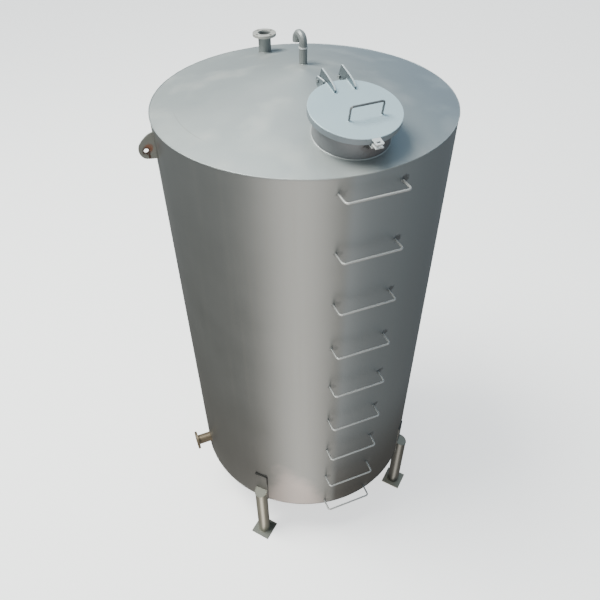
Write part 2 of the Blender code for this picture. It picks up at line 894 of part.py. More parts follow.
legs = []
for i, turn in enumerate(LEG_TURNS):
    number = "_" + str(i + 1)
    spin = (0.0, 0.0, math.radians(turn - LEG_TURNS[0]))
    for name, mesh in leg_meshes.items():
        legs.append(place(name + number, mesh.copy(), tank, (0.0, 0.0, 0.0), spin))
    at = around(turn, LEG_RADIUS_OUT, FOOT_PLATE / 2.0)
    turned_foot = (0.0, 0.0, math.radians(turn + FOOT_TWIST))
    legs.append(place("leg_base_plate" + number, foot_mesh.copy(), tank, at, turned_foot))

# Finishes
for obj in (shell, bottom, neck, nozzle_pipe, outlet_pipe, riser, gooseneck, *legs):
    paint(obj)
for obj in (roof, cover, skirt, handle, *arms, *hinge_lugs):
    paint(obj, PALE_PAINT)
for obj in (lug_left, lug_right, nozzle_flange, outlet_flange, hasp_neck):
    paint(obj, DULL_PAINT, 0.5)
for obj in (*rungs, collar, hasp_cover):
    paint(obj, RUNG_PAINT, 0.38)
for pin in pins:
    paint(pin, BARE_STEEL, 0.45, 0.9)
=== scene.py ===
# %% [markdown]
# # A diesel fuel tank
# An upright steel tank, 1.6 m across, that stands on four pipe legs. The shell is rolled from 5 mm
# plate, the roof is a shallow cone, and everything is welded together and sprayed with a silver
# paint. All of it could be modelled here from nothing, but its sizes were worked out beforehand.
# So the measured model comes in as a fixed frame, and this file dresses it: softened edges, weld
# beads, and a finish for every piece.

import json
import math

import bmesh
import bpy
from mathutils import Matrix, Vector, noise


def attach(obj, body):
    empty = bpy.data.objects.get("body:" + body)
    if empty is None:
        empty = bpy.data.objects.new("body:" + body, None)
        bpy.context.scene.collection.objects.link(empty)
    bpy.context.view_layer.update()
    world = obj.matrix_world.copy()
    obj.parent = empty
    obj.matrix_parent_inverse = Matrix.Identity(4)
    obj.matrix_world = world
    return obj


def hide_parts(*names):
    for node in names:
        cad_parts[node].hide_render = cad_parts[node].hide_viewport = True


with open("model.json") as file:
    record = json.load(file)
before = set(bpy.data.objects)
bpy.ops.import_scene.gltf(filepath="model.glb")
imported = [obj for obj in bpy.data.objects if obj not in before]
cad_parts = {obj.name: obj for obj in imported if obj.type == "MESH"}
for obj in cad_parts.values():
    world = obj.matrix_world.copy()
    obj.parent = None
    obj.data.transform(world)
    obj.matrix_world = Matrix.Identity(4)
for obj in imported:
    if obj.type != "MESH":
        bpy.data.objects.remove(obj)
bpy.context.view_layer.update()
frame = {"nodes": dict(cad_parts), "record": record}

# %% [markdown]
# ## Sizes that the scene shares with the measured model
# Beads, rust and dust lie at places on the tank. Such places could be read off each mesh, but a few
# driving sizes say them more plainly. The tank's axis stands a little behind the middle of the
# frame, and the heights start from the rim, where the roof meets the shell. A direction round the
# tank is an angle from the ladder's side.

# %% Sizes in metres
MM = 0.001
AXIS_Y = 0.036
SHELL_RADIUS = 0.800
SHELL_FOOT = 0.451
RIM = 3.222
ROOF_RISE = 0.160
ROOF_SLOPE = math.atan2(ROOF_RISE, SHELL_RADIUS)


def around(turn, out, height, side=0.0):
    """The point at a direction round the tank, a distance out from its axis and one sideways."""
    angle = math.radians(turn)
    outward = Vector((math.sin(angle), -math.cos(angle), 0.0))
    sideways = Vector((math.cos(angle), math.sin(angle), 0.0))
    return Vector((0.0, AXIS_Y, height)) + out * outward + side * sideways


def roof_height(point):
    """Height of the roof's surface over a point."""
    out = math.hypot(point.x, point.y - AXIS_Y)
    return RIM + ROOF_RISE * (1.0 - out / SHELL_RADIUS)


print("the roof slopes by", round(math.degrees(ROOF_SLOPE), 2), "degrees")

# %% [markdown]
# ## The camera
# The tank is looked down on, as from a wall beside it: the camera stands 2.97 m in front of the axis
# and 1.32 m over the rim. It could be aimed by a constraint. A chain of simple moves is clearer,
# because each one can be read and changed alone: turn about the axis, step back, look down, and a
# hair of roll.

# %% Camera
VIEW_TURN = math.radians(-22.306)
VIEW_PAN = math.radians(-0.689)
VIEW_DOWN = math.radians(42.864)
VIEW_ROLL = math.radians(0.435)
VIEW_ASIDE = 0.0068
VIEW_BACK = 2.9713
VIEW_OVER_RIM = 1.3200
SENSOR_MM = 36.0
FOCAL_PIXELS = 587.455
PICTURE_PIXELS = 600
SIGHT = 200.0

eye = bpy.data.cameras.new("eye")
eye.sensor_width = SENSOR_MM
eye.sensor_fit = "HORIZONTAL"
eye.lens = SENSOR_MM * FOCAL_PIXELS / PICTURE_PIXELS
eye.clip_end = SIGHT
camera = bpy.data.objects.new("camera", eye)
bpy.context.scene.collection.objects.link(camera)
camera.matrix_world = (
    Matrix.Translation((0.0, AXIS_Y, 0.0))
    @ Matrix.Rotation(VIEW_TURN, 4, "Z")
    @ Matrix.Translation((VIEW_ASIDE, -VIEW_BACK, RIM + VIEW_OVER_RIM))
    @ Matrix.Rotation(-VIEW_PAN, 4, "Z")
    @ Matrix.Rotation(math.radians(90.0) - VIEW_DOWN, 4, "X")
    @ Matrix.Rotation(-VIEW_ROLL, 4, "Z")
)
bpy.context.scene.camera = camera
print("lens", round(eye.lens, 2), "mm, at", [round(v, 3) for v in camera.matrix_world.translation])

# %% [markdown]
# ## Small helpers for finishes
# Every finish here is worked out by nodes. Painted pictures could do it too, but nodes stay sharp at
# any distance and need no unwrapping. Colours are written as hex values, as on a paint chart, and
# one function turns them to the linear light that Blender works in. Another adds one node, sets it
# and joins its inputs. It goes by a socket's identifier, because a Mix node has several sockets that
# are all named A, and for the same reason a third function finds the output that is switched on. The
# two ends of a range, such as those of a Map Range node, are given as a pair.

# %% Colour and node helpers


def linear(hex_colour):
    """An sRGB hex colour as linear red, green, blue and alpha."""
    channels = []
    for start in (1, 3, 5):
        value = int(hex_colour[start:start + 2], 16) / 255.0
        channels.append(value / 12.92 if value <= 0.04045 else ((value + 0.055) / 1.055) ** 2.4)
    return (*channels, 1.0)


def in_use(node):
    """The output that a node's settings leave switched on."""
    return next(output for output in node.outputs if output.enabled)


def add_node(tree, kind, inputs=None, **settings):
    """A new node with its settings; an input takes a value, a node or one output of a node."""
    node = tree.nodes.new(kind)
    for name, value in settings.items():
        setattr(node, name, value)
    sockets = {socket.identifier: socket for socket in node.inputs}
    for name, value in (inputs or {}).items():
        if isinstance(value, bpy.types.Node):
            value = in_use(value)
        if isinstance(value, bpy.types.NodeSocket):
            tree.links.new(value, sockets[name])
        elif name in ("From", "To"):
            sockets[name + " Min"].default_value, sockets[name + " Max"].default_value = value
        else:
            sockets[name].default_value = value
    return node


print("a middle grey in linear light:", [round(v, 3) for v in linear("#808080")])

# %% [markdown]
# ## Silver paint on rolled plate
# The whole tank wears an enamel full of fine aluminium flakes, sprayed over the steel. The flakes
# lie nearly flat, so it has a broad, soft sheen instead of a mirror's. The spray gun leaves faint
# clouds where its passes overlap, and a fine orange peel. A plain grey with a high metallic value
# would be quicker, but every part would look like new sheet. So one function lays this enamel in
# two tones, and each part of the tank gets a coat of its own from it.

# %% Orange peel and waves of the plate
# A real orange peel is 2 to 3 mm; it is drawn at 9 mm, the finest that still shows here
PEEL_SIZE = 9.0 * MM
PEEL_DEPTH = 0.4 * MM
PEEL_STRENGTH = 0.12
PLATE_WAVE = 500.0 * MM


def sprayed_surface(tree, place, wave):
    """The relief of sprayed paint: an orange peel, and the plate's own waves where it has any."""
    peel = add_node(tree, "ShaderNodeTexNoise", {"Vector": place, "Scale": 1.0 / PEEL_SIZE, "Detail": 1.0})
    surface = add_node(
        tree, "ShaderNodeBump", {"Strength": PEEL_STRENGTH, "Distance": PEEL_DEPTH, "Height": peel}
    )
    if wave:
        dents = add_node(
            tree, "ShaderNodeTexNoise", {"Vector": place, "Scale": 1.0 / PLATE_WAVE, "Detail": 0.0}
        )
        surface = add_node(
            tree,
            "ShaderNodeBump",
            {"Strength": 1.0, "Distance": wave, "Height": dents, "Normal": surface},
        )
    return surface


print("an orange peel of", PEEL_SIZE, "m on waves of", PLATE_WAVE, "m")

# %% Silver enamel
CLOUD_SIZE = 300.0 * MM
# The clouds are a little glossier or duller than the finish as a whole
GLOSSIER = 0.04
DULLER = 0.06


def silver_enamel(name, pale, deep, roughness, metallic, wave=0.0):
    """Sprayed aluminium enamel: clouds of two tones, an orange peel and the plate's own waves."""
    material = bpy.data.materials.new(name)
    material.use_nodes = True
    tree = material.node_tree
    shader = tree.nodes["Principled BSDF"]
    shader.inputs["Metallic"].default_value = metallic
    place = add_node(tree, "ShaderNodeTexCoord").outputs["Object"]
    clouds = add_node(
        tree, "ShaderNodeTexNoise", {"Vector": place, "Scale": 1.0 / CLOUD_SIZE, "Detail": 4.0}
    )
    tones = {"Factor_Float": clouds, "A_Color": linear(deep), "B_Color": linear(pale)}
    tone = add_node(tree, "ShaderNodeMix", tones, data_type="RGBA")
    tree.links.new(in_use(tone), shader.inputs["Base Color"])
    sheen_range = (roughness - GLOSSIER, roughness + DULLER)
    sheen = add_node(tree, "ShaderNodeMapRange", {"Value": clouds, "To": sheen_range})
    tree.links.new(in_use(sheen), shader.inputs["Roughness"])
    surface = sprayed_surface(tree, place, wave)
    tree.links.new(in_use(surface), shader.inputs["Normal"])
    return material


print("clouds of", CLOUD_SIZE, "m, where the passes of the gun overlap")

# %% [markdown]
# ## What time lays over the paint
# Dust, rust and soot lie on the enamel in patches. They could be materials of their own on faces of
# their own, but a real patch has no straight edge. So a coat is mixed in by a mask that fades out.
# It changes the gloss too, because dust and rust are rough and hardly metallic.

# %% Lay a coat over a finish
DRY_DUST = {"Base Color": linear("#8B8274"), "Roughness": 0.70, "Metallic": 0.20}
ORANGE_RUST = {"Base Color": linear("#83420F"), "Roughness": 0.85, "Metallic": 0.0}
BROWN_RUST = {"Base Color": linear("#3E2A1E"), "Roughness": 0.85, "Metallic": 0.0}
# Black scale; at the rungs' feet it also paints the rungs' shadows
BLACK_SCALE_AND_SHADE = {"Base Color": linear("#1C1A19"), "Roughness": 0.80, "Metallic": 0.0}


def lay_over(material, mask, coat):
    """Lays a coat over a finish where the mask is one; the coat gives values for shader sockets."""
    tree = material.node_tree
    shader = tree.nodes["Principled BSDF"]
    for name, value in coat.items():
        socket = shader.inputs[name]
        under = socket.links[0].from_socket if socket.is_linked else socket.default_value
        kind, sort = ("RGBA", "Color") if name == "Base Color" else ("FLOAT", "Float")
        layers = {"Factor_Float": mask, "A_" + sort: under, "B_" + sort: value}
        tree.links.new(in_use(add_node(tree, "ShaderNodeMix", layers, data_type=kind)), socket)


print("a coat of dust changes", list(DRY_DUST))

# %% A patch with a ragged edge
PATCH_EDGE = (0.70, 1.15)


def patch(material, centre, reach, grain, stretch=(1.0, 1.0, 1.0), amount=1.0):
    """A mask that is strongest at a point and fades at its reach, with a ragged edge."""
    tree = material.node_tree
    place = add_node(tree, "ShaderNodeTexCoord").outputs["Object"]
    offset = add_node(
        tree, "ShaderNodeVectorMath", {"Vector": place, "Vector_001": centre}, operation="SUBTRACT"
    )
    squeezed = add_node(
        tree, "ShaderNodeVectorMath", {"Vector": offset, "Vector_001": stretch}, operation="MULTIPLY"
    )
    far = add_node(tree, "ShaderNodeVectorMath", {"Vector": squeezed}, operation="LENGTH")
    crumbs = add_node(tree, "ShaderNodeTexNoise", {"Vector": place, "Scale": 1.0 / grain, "Detail": 5.0})
    near = add_node(
        tree, "ShaderNodeMapRange", {"Value": far.outputs["Value"], "From": (0.0, reach), "To": (1.0, 0.0)}
    )
    raised = add_node(tree, "ShaderNodeMath", {"Value": near, "Value_001": crumbs}, operation="ADD")
    return add_node(
        tree,
        "ShaderNodeMapRange",
        {"Value": raised, "From": PATCH_EDGE, "To": (0.0, amount)},
        interpolation_type="SMOOTHSTEP",
    )


print("a patch fades in while nearness and crumbs add up to", PATCH_EDGE)

# %% [markdown]
# ## Dressing the measured pieces
# The measured solids are cut in flat facets. On real plate the curve is smooth and every edge is
# dulled by the grinder and the paint. Each solid could be drawn again with more faces. It is simpler
# to copy it, join its flat triangles, shade the curve smooth, and let a narrow bevel catch the light
# along the edges.

# %% Put a piece in the scene


def show(name, data, finish, body):
    """Puts a new piece in the scene, with its finish and the body that it moves with."""
    data.materials.clear()
    data.materials.append(finish)
    piece = bpy.data.objects.new(name, data)
    bpy.context.scene.collection.objects.link(piece)
    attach(piece, body)
    return piece


print("measured pieces to dress:", len(frame["nodes"]))

# %% Dress a measured piece
COVER_NODES = frame["record"]["behaviour"]["bodies"]["cover"]
SAME_PLACE = 0.01 * MM
FLAT = math.radians(0.05)


def dress(node_name, finish, edge=0.8 * MM, corner=35.0):
    """A copy of a measured piece, smooth over its curves, with softened edges and a finish."""
    shape = bmesh.new()
    shape.from_mesh(frame["nodes"][node_name].data)
    bmesh.ops.remove_doubles(shape, verts=shape.verts, dist=SAME_PLACE)
    bmesh.ops.dissolve_limit(shape, angle_limit=FLAT, verts=shape.verts, edges=shape.edges)
    mesh = bpy.data.meshes.new(node_name + "_dressed")
    shape.to_mesh(mesh)
    shape.free()
    mesh.shade_smooth()
    mesh.set_sharp_from_angle(angle=math.radians(corner))
    body = "cover" if node_name in COVER_NODES else "tank"
    piece = show(mesh.name, mesh, finish, body)
    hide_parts(node_name)
    if edge:
        bevel = piece.modifiers.new("softened edges", "BEVEL")
        bevel.width = edge
        bevel.segments = 2
        bevel.limit_method = "ANGLE"
        bevel.angle_limit = math.radians(corner)
        bevel.harden_normals = True
    return piece


print("pieces that swing with the cover:", len(COVER_NODES))

# %% [markdown]
# ## Weld beads
# Every joint is closed by an arc weld, which leaves a rounded bead with ripples across it, like a
# row of overlapping coins. A bump in the paint could hint at it, but a bead also stands out in the
# outline. It follows its joint, so it is a curve with a round section, and the ripples are a change
# of thickness from point to point.

# %% Even steps along a joint
# Real ripples are 2 to 3 mm apart; these are drawn wider, so that they still show
RIPPLE = 8.0 * MM
RIPPLE_POINTS = 3
FEWEST_POINTS = 8


def even_points(path, closed):
    """Points at even steps along a path, a few for each ripple of the bead."""
    corners = [*path, path[0]] if closed else list(path)
    lengths = [(b - a).length for a, b in zip(corners, corners[1:])]
    total = sum(lengths)
    count = max(FEWEST_POINTS, round(total / RIPPLE * RIPPLE_POINTS))
    points = []
    index, passed = 0, 0.0
    for i in range(count if closed else count + 1):
        at = total * i / count
        while index < len(lengths) - 1 and passed + lengths[index] < at:
            passed += lengths[index]
            index += 1
        share = (at - passed) / max(lengths[index], SAME_PLACE)
        points.append(corners[index].lerp(corners[index + 1], min(share, 1.0)))
    return points


print("a bead has", RIPPLE_POINTS, "points for each ripple of", RIPPLE, "m")

# %% Lay a bead
RIPPLE_SHARE = 0.12
UNEVEN = 40.0 * MM
UNEVEN_SHARE = 0.25


def weld(name, paths, size, finish, body="tank", closed=True):
    """Beads of one size along several paths, as one piece."""
    curve = bpy.data.curves.new(name, "CURVE")
    curve.dimensions = "3D"
    curve.bevel_depth = size
    curve.bevel_resolution = 2
    curve.use_fill_caps = True
    for path in paths:
        points = even_points(path, closed)
        spline = curve.splines.new("POLY")
        spline.points.add(len(points) - 1)
        spline.use_cyclic_u = closed
        spline.use_smooth = True
        for i, (target, at) in enumerate(zip(spline.points, points)):
            target.co = (*at, 1.0)
            coin = RIPPLE_SHARE * math.sin(2.0 * math.pi * i / RIPPLE_POINTS)
            target.radius = 1.0 + coin + UNEVEN_SHARE * noise.noise(at / UNEVEN)
    return show(name, curve, finish, body)


def ring(centre, radius, across=Vector((1.0, 0.0, 0.0)), along=Vector((0.0, 1.0, 0.0)), steps=96):
    """Points of a circle about a centre, in the plane of two directions."""
    turns = [2.0 * math.pi * i / steps for i in range(steps)]
    return [centre + radius * (math.cos(t) * across + math.sin(t) * along) for t in turns]


print("a bead's thickness changes by", RIPPLE_SHARE, "of itself at each ripple")

# %% [markdown]
# ## The shell
# The shell is plate rolled to a drum. The side with the ladder is painted a shade cooler, darker
# and duller, with a soft edge just left of the rungs: the cooler, darker tone is a painted
# reflection of darker surroundings on that side. A second material on part of the faces would give
# it a hard edge. A mask that goes by the direction round the tank gives a soft one, and needs no
# seam in the mesh.

# %% Enamel of the shell, and the direction round the tank
shell_enamel = silver_enamel(
    "silver_enamel_sprayed_on_shell", "#868887", "#7A7D7C", roughness=0.40, metallic=0.88, wave=2.5 * MM
)


def place_and_turn(material):
    """The place of each point of a finish, its three parts, and its direction round the tank."""
    tree = material.node_tree
    place = add_node(tree, "ShaderNodeTexCoord").outputs["Object"]
    parts = add_node(tree, "ShaderNodeSeparateXYZ", {"Vector": place}).outputs
    depth = add_node(
        tree, "ShaderNodeMath", {"Value": AXIS_Y, "Value_001": parts["Y"]}, operation="SUBTRACT"
    )
    turn = add_node(
        tree, "ShaderNodeMath", {"Value": parts["X"], "Value_001": depth}, operation="ARCTAN2"
    )
    return place, parts, add_node(tree, "ShaderNodeMath", {"Value": turn}, operation="DEGREES")


tree = shell_enamel.node_tree
place, parts, turn = place_and_turn(shell_enamel)
print("nodes in the shell's enamel so far:", len(tree.nodes))

# %% Painted reflection on the ladder's side
REFLECTION_FADES_IN = (-9.5, -5.0)
REFLECTION_FADES_OUT = (80.0, 95.0)
fades_in = add_node(
    tree,
    "ShaderNodeMapRange",
    {"Value": turn, "From": REFLECTION_FADES_IN},
    interpolation_type="SMOOTHSTEP",
)
fades_out = add_node(
    tree,
    "ShaderNodeMapRange",
    {"Value": turn, "From": REFLECTION_FADES_OUT, "To": (1.0, 0.0)},
    interpolation_type="SMOOTHSTEP",
)
painted_reflection = add_node(
    tree, "ShaderNodeMath", {"Value": fades_in, "Value_001": fades_out}, operation="MULTIPLY"
)
# The ladder's side is painted cooler and darker, a painted reflection, and made a little rougher
lay_over(shell_enamel, painted_reflection, {"Base Color": linear("#878D90"), "Roughness": 0.48})
print("the second coat starts at", REFLECTION_FADES_IN, "degrees")

# %% [markdown]
# ## Rain streaks, burnt paint and painted rung shadows
# Rain draws the dust on the wall into streaks. Drawn lines would look ruled, while a noise that is
# stretched along the height looks washed, and the streaks' width sets its scale. The welds of the
# rungs have burnt the paint beside the feet, and a painted shadow of each rung is laid with the
# soot, shifted to the right of the feet, so the dark is stronger on the right than on the left.
# Eighteen patches could be laid one by one, but the rungs are evenly spaced, so folding the height
# over and over on itself brings all of them to one place.

# %% Rain streaks
STREAK_WIDTH = 25.0 * MM
STREAK_LENGTH = 1250.0 * MM
STREAK_EDGE = (0.50, 0.80)
STREAK_AMOUNT = 0.07
streak_scales = (1.0 / STREAK_WIDTH, 1.0 / STREAK_WIDTH, 1.0 / STREAK_LENGTH)
drawn_out = add_node(
    tree, "ShaderNodeVectorMath", {"Vector": place, "Vector_001": streak_scales}, operation="MULTIPLY"
)
streaks = add_node(tree, "ShaderNodeTexNoise", {"Vector": drawn_out, "Scale": 1.0, "Detail": 3.0})
streak_mask = add_node(
    tree, "ShaderNodeMapRange", {"Value": streaks, "From": STREAK_EDGE, "To": (0.0, STREAK_AMOUNT)}
)
lay_over(shell_enamel, streak_mask, DRY_DUST)
print("streaks", STREAK_WIDTH, "m wide and", STREAK_LENGTH, "m long")

# %% How far each point is from a rung's foot
RUNG_HALF = 0.159
RUNG_FIRST = 0.0825
RUNG_SPACING = 0.3313
SOOT_AND_SHADOW_ASIDE = 16.0 * MM
depth_down = add_node(
    tree, "ShaderNodeMath", {"Value": RIM - RUNG_FIRST, "Value_001": parts["Z"]}, operation="SUBTRACT"
)
to_rung = add_node(
    tree, "ShaderNodeMath", {"Value": depth_down, "Value_001": 0.5 * RUNG_SPACING}, operation="PINGPONG"
)
aside_of_foot = add_node(
    tree, "ShaderNodeMath", {"Value": parts["X"], "Value_001": SOOT_AND_SHADOW_ASIDE}, operation="SUBTRACT"
)
across_rung = add_node(tree, "ShaderNodeMath", {"Value": aside_of_foot}, operation="ABSOLUTE")
beside_foot = add_node(
    tree, "ShaderNodeMath", {"Value": across_rung, "Value_001": RUNG_HALF}, operation="SUBTRACT"
)
from_foot = add_node(tree, "ShaderNodeCombineXYZ", {"X": beside_foot, "Y": to_rung})
foot_distance = add_node(
    tree, "ShaderNodeVectorMath", {"Vector": from_foot}, operation="LENGTH"
).outputs["Value"]
print("rungs every", RUNG_SPACING, "m")

# %% Burnt paint and painted rung shadows on the ladder's side
SOOT_AND_SHADOW_REACH = 40.0 * MM
SOOT_AND_SHADOW_EDGE = (0.72, 1.25)
SOOT_AND_SHADOW_AMOUNT = 0.75
SOOT_AND_SHADOW_SHARE_LEFT = 0.35
LADDER_MIDDLE = (-50.0 * MM, 50.0 * MM)
SOOT_GRAIN = 16.667 * MM
soot = add_node(tree, "ShaderNodeTexNoise", {"Vector": place, "Scale": 1.0 / SOOT_GRAIN, "Detail": 3.0})
close_by = add_node(
    tree, "ShaderNodeMapRange", {"Value": foot_distance, "From": (0.0, SOOT_AND_SHADOW_REACH), "To": (1.0, 0.0)}
)
sooty = add_node(tree, "ShaderNodeMath", {"Value": close_by, "Value_001": soot}, operation="ADD")
soot_and_shadow = add_node(
    tree,
    "ShaderNodeMapRange",
    {"Value": sooty, "From": SOOT_AND_SHADOW_EDGE, "To": (0.0, SOOT_AND_SHADOW_AMOUNT)},
    interpolation_type="SMOOTHSTEP",
)
front = add_node(
    tree, "ShaderNodeMath", {"Value": parts["Y"], "Value_001": AXIS_Y}, operation="LESS_THAN"
)
soot_and_shadow_at_feet = add_node(tree, "ShaderNodeMath", {"Value": soot_and_shadow, "Value_001": front}, operation="MULTIPLY")
more_to_the_right = add_node(
    tree, "ShaderNodeMapRange", {"Value": parts["X"], "From": LADDER_MIDDLE, "To": (SOOT_AND_SHADOW_SHARE_LEFT, 1.0)}
)
soot_and_shadow_share = add_node(
    tree, "ShaderNodeMath", {"Value": soot_and_shadow_at_feet, "Value_001": more_to_the_right}, operation="MULTIPLY"
)
# Black soot at the rungs' feet, with a painted shadow of each rung, shifted to the right
lay_over(shell_enamel, soot_and_shadow_share, BLACK_SCALE_AND_SHADE)
print("burnt paint reaches", SOOT_AND_SHADOW_REACH, "m from a foot")

# %% [markdown]
# ## Dust, painted shade and a painted highlight at the shell's foot
# Dust stays on the lowest third of a metre all round. The left side is painted darker for a metre
# and a half, and the ladder's side for 1.1 m, both as painted shade, and a pale patch at the foot
# of the front is a painted highlight, where the wall mirrors the bright ground ahead. One drawn map
# could hold all of it. Masks by height and by side can be changed one at a time, and three of them
# differ only in their height and strength, so a loop makes them.

# %% Masks that fade with the height
# For each layer, how high it reaches in metres, and how strong it is at the shell's foot
FOOT_LAYERS = {"dust": (0.35, 0.14), "painted_shade_left": (1.5, 0.8), "painted_shade_ladder_side": (1.1, 1.0)}
foot_masks = {}
for layer, (height, amount) in FOOT_LAYERS.items():
    foot_masks[layer] = add_node(
        tree,
        "ShaderNodeMapRange",
        {"Value": parts["Z"], "From": (SHELL_FOOT, SHELL_FOOT + height), "To": (amount, 0.0)},
        interpolation_type="SMOOTHSTEP",
    )
print("layers at the shell's foot:", list(foot_masks))

# %% Dust, painted shade and the painted highlight
LEFT_SHADE_FADES = (-0.60, -0.35)
HIGHLIGHT_TURN = -27.0
left_side = add_node(
    tree,
    "ShaderNodeMapRange",
    {"Value": parts["X"], "From": LEFT_SHADE_FADES, "To": (1.0, 0.0)},
    interpolation_type="SMOOTHSTEP",
)
painted_shade_left = add_node(
    tree, "ShaderNodeMath", {"Value": foot_masks["painted_shade_left"], "Value_001": left_side}, operation="MULTIPLY"
)
painted_shade_ladder_side = add_node(
    tree, "ShaderNodeMath", {"Value": foot_masks["painted_shade_ladder_side"], "Value_001": painted_reflection}, operation="MULTIPLY"
)
highlight_point = around(HIGHLIGHT_TURN, SHELL_RADIUS, SHELL_FOOT)
painted_highlight_patch = patch(
    shell_enamel, highlight_point, reach=0.50, grain=300.0 * MM, stretch=(1.4, 1.4, 0.8), amount=0.55
)
lay_over(shell_enamel, foot_masks["dust"], DRY_DUST)
# Painted shade: the left side is darker towards the foot
lay_over(shell_enamel, painted_shade_left, {"Base Color": linear("#787774")})
# Painted shade: the ladder's side is darker towards the foot
lay_over(shell_enamel, painted_shade_ladder_side, {"Base Color": linear("#565552")})
# Painted highlight: a pale patch at the foot of the front, in the bright band's direction
lay_over(shell_enamel, painted_highlight_patch, {"Base Color": linear("#B3A8A4")})
print("nodes in the shell's enamel:", len(tree.nodes))

# %% Shell and bottom plate
BOTTOM_BEAD_UP = 6.0 * MM
dress("tank_shell", shell_enamel, edge=1.0 * MM)
dress("bottom_plate", shell_enamel, edge=1.0 * MM)
bottom_joint = ring(Vector((0.0, AXIS_Y, SHELL_FOOT + BOTTOM_BEAD_UP)), SHELL_RADIUS)
weld("weld_bottom_edge", [bottom_joint], size=2.2 * MM, finish=shell_enamel)
print("points of the bottom joint:", len(bottom_joint))

# %% [markdown]
# ## The roof
# The cone is one plate, cut like a slice out of a disc and pulled together. Its enamel is painted
# paler than the wall's, as painted light for a face that looks up at the sky, and the dust on it
# dries to a bloom. Its right-hand half is painted a cooler, darker tone, a painted reflection of a
# bluer sky on that side. Bloom and tone could be painted on an unwrapped roof, but both go by a
# place or a noise, which nodes know already.

# %% Enamel of the roof
BLOOM_SIZE = 200.0 * MM
BLOOM_EDGE = (0.50, 0.75)
BLOOM_AMOUNT = 0.22
SKY_REFLECTION_RAMP = (0.0, 0.75)
SKY_REFLECTION_AMOUNT = 0.90
# The roof's tones are paler than the shell's: painted light, for the same silver paint facing the sky
roof_enamel = silver_enamel(
    "silver_enamel_sprayed_on_roof", "#A2A7A6", "#949A9B", roughness=0.48, metallic=0.72, wave=1.0 * MM
)
tree = roof_enamel.node_tree
place, parts, turn = place_and_turn(roof_enamel)
bloom = add_node(tree, "ShaderNodeTexNoise", {"Vector": place, "Scale": 1.0 / BLOOM_SIZE, "Detail": 6.0})
bloom_mask = add_node(
    tree, "ShaderNodeMapRange", {"Value": bloom, "From": BLOOM_EDGE, "To": (0.0, BLOOM_AMOUNT)}
)
lay_over(roof_enamel, bloom_mask, {"Base Color": linear("#B4B2A8"), "Roughness": 0.8, "Metallic": 0.2})
# Painted reflection: the right-hand half of the roof is painted cooler and darker, as if it mirrored a bluer
# sky
painted_sky_reflection = add_node(
    tree,
    "ShaderNodeMapRange",
    {"Value": parts["X"], "From": SKY_REFLECTION_RAMP, "To": (0.0, SKY_REFLECTION_AMOUNT)},
    interpolation_type="SMOOTHSTEP",
)
lay_over(roof_enamel, painted_sky_reflection, {"Base Color": linear("#818B93")})
print("nodes in the roof's enamel so far:", len(tree.nodes))

# %% [markdown]
# ## The scratch, and the rust and painted shadow by the nozzle
# Something hard was once dragged along the left edge of the roof and left one long scratch. It could
# be a groove in the mesh, but it is thinner than the paint's sheen can show, so a line of duller
# paint does it: all points that lie at one distance from the axis, between two directions. Beside
# the nozzle's foot, on its right, lies a brown patch squeezed to a narrow shape: rust, and a
# painted shadow of the flange.

# %% A thin line at one distance from the axis
# The scratch is 2 mm wide, and drawn at 4 mm, so that it still shows
SCRATCH_WIDTH = 4.0 * MM
SCRATCH_OUT = 0.85 * SHELL_RADIUS
from_axis = add_node(
    tree, "ShaderNodeVectorMath", {"Vector": place, "Vector_001": (0.0, AXIS_Y, 0.0)}, operation="SUBTRACT"
)
level = add_node(
    tree, "ShaderNodeVectorMath", {"Vector": from_axis, "Vector_001": (1.0, 1.0, 0.0)}, operation="MULTIPLY"
)
out = add_node(tree, "ShaderNodeVectorMath", {"Vector": level}, operation="LENGTH").outputs["Value"]
past_scratch = add_node(
    tree, "ShaderNodeMath", {"Value": out, "Value_001": SCRATCH_OUT}, operation="SUBTRACT"
)
beside_scratch = add_node(tree, "ShaderNodeMath", {"Value": past_scratch}, operation="ABSOLUTE")
scratch = add_node(
    tree, "ShaderNodeMapRange", {"Value": beside_scratch, "From": (0.0, SCRATCH_WIDTH), "To": (1.0, 0.0)}
)
print("the scratch lies", round(SHELL_RADIUS - SCRATCH_OUT, 3), "m inside the rim")

# %% Where the scratch begins and ends
SCRATCH_FADES_IN = (-97.0, -90.0)
SCRATCH_FADES_OUT = (-68.0, -62.0)
SCRATCH_AMOUNT = 0.5
begins = add_node(tree, "ShaderNodeMapRange", {"Value": turn, "From": SCRATCH_FADES_IN})
ends = add_node(
    tree, "ShaderNodeMapRange", {"Value": turn, "From": SCRATCH_FADES_OUT, "To": (SCRATCH_AMOUNT, 0.0)}
)
span = add_node(tree, "ShaderNodeMath", {"Value": begins, "Value_001": ends}, operation="MULTIPLY")
scratched = add_node(tree, "ShaderNodeMath", {"Value": scratch, "Value_001": span}, operation="MULTIPLY")
lay_over(roof_enamel, scratched, {"Base Color": linear("#7E807C"), "Roughness": 0.6})
print("the scratch runs from", SCRATCH_FADES_IN[0], "to", SCRATCH_FADES_OUT[1], "degrees")

# %% Rust and a painted shadow beside the nozzle's foot, and the roof's plate
NOZZLE_TURN = 180.0
NOZZLE_OUT = 0.607
RUST_AND_SHADOW_ASIDE = -0.075
RUN_OVER_RIM = 0.04
# The plate ends in a small flat tip; a sharp limit keeps it from being shaded into a dimple
TIP_CORNER = 8.0
rust_and_shadow_spot = around(NOZZLE_TURN, NOZZLE_OUT, RIM + RUN_OVER_RIM, RUST_AND_SHADOW_ASIDE)
rust_and_painted_shadow = patch(
    roof_enamel, rust_and_shadow_spot, reach=75.0 * MM, grain=20.0 * MM, stretch=(1.0, 3.0, 1.0), amount=0.45
)
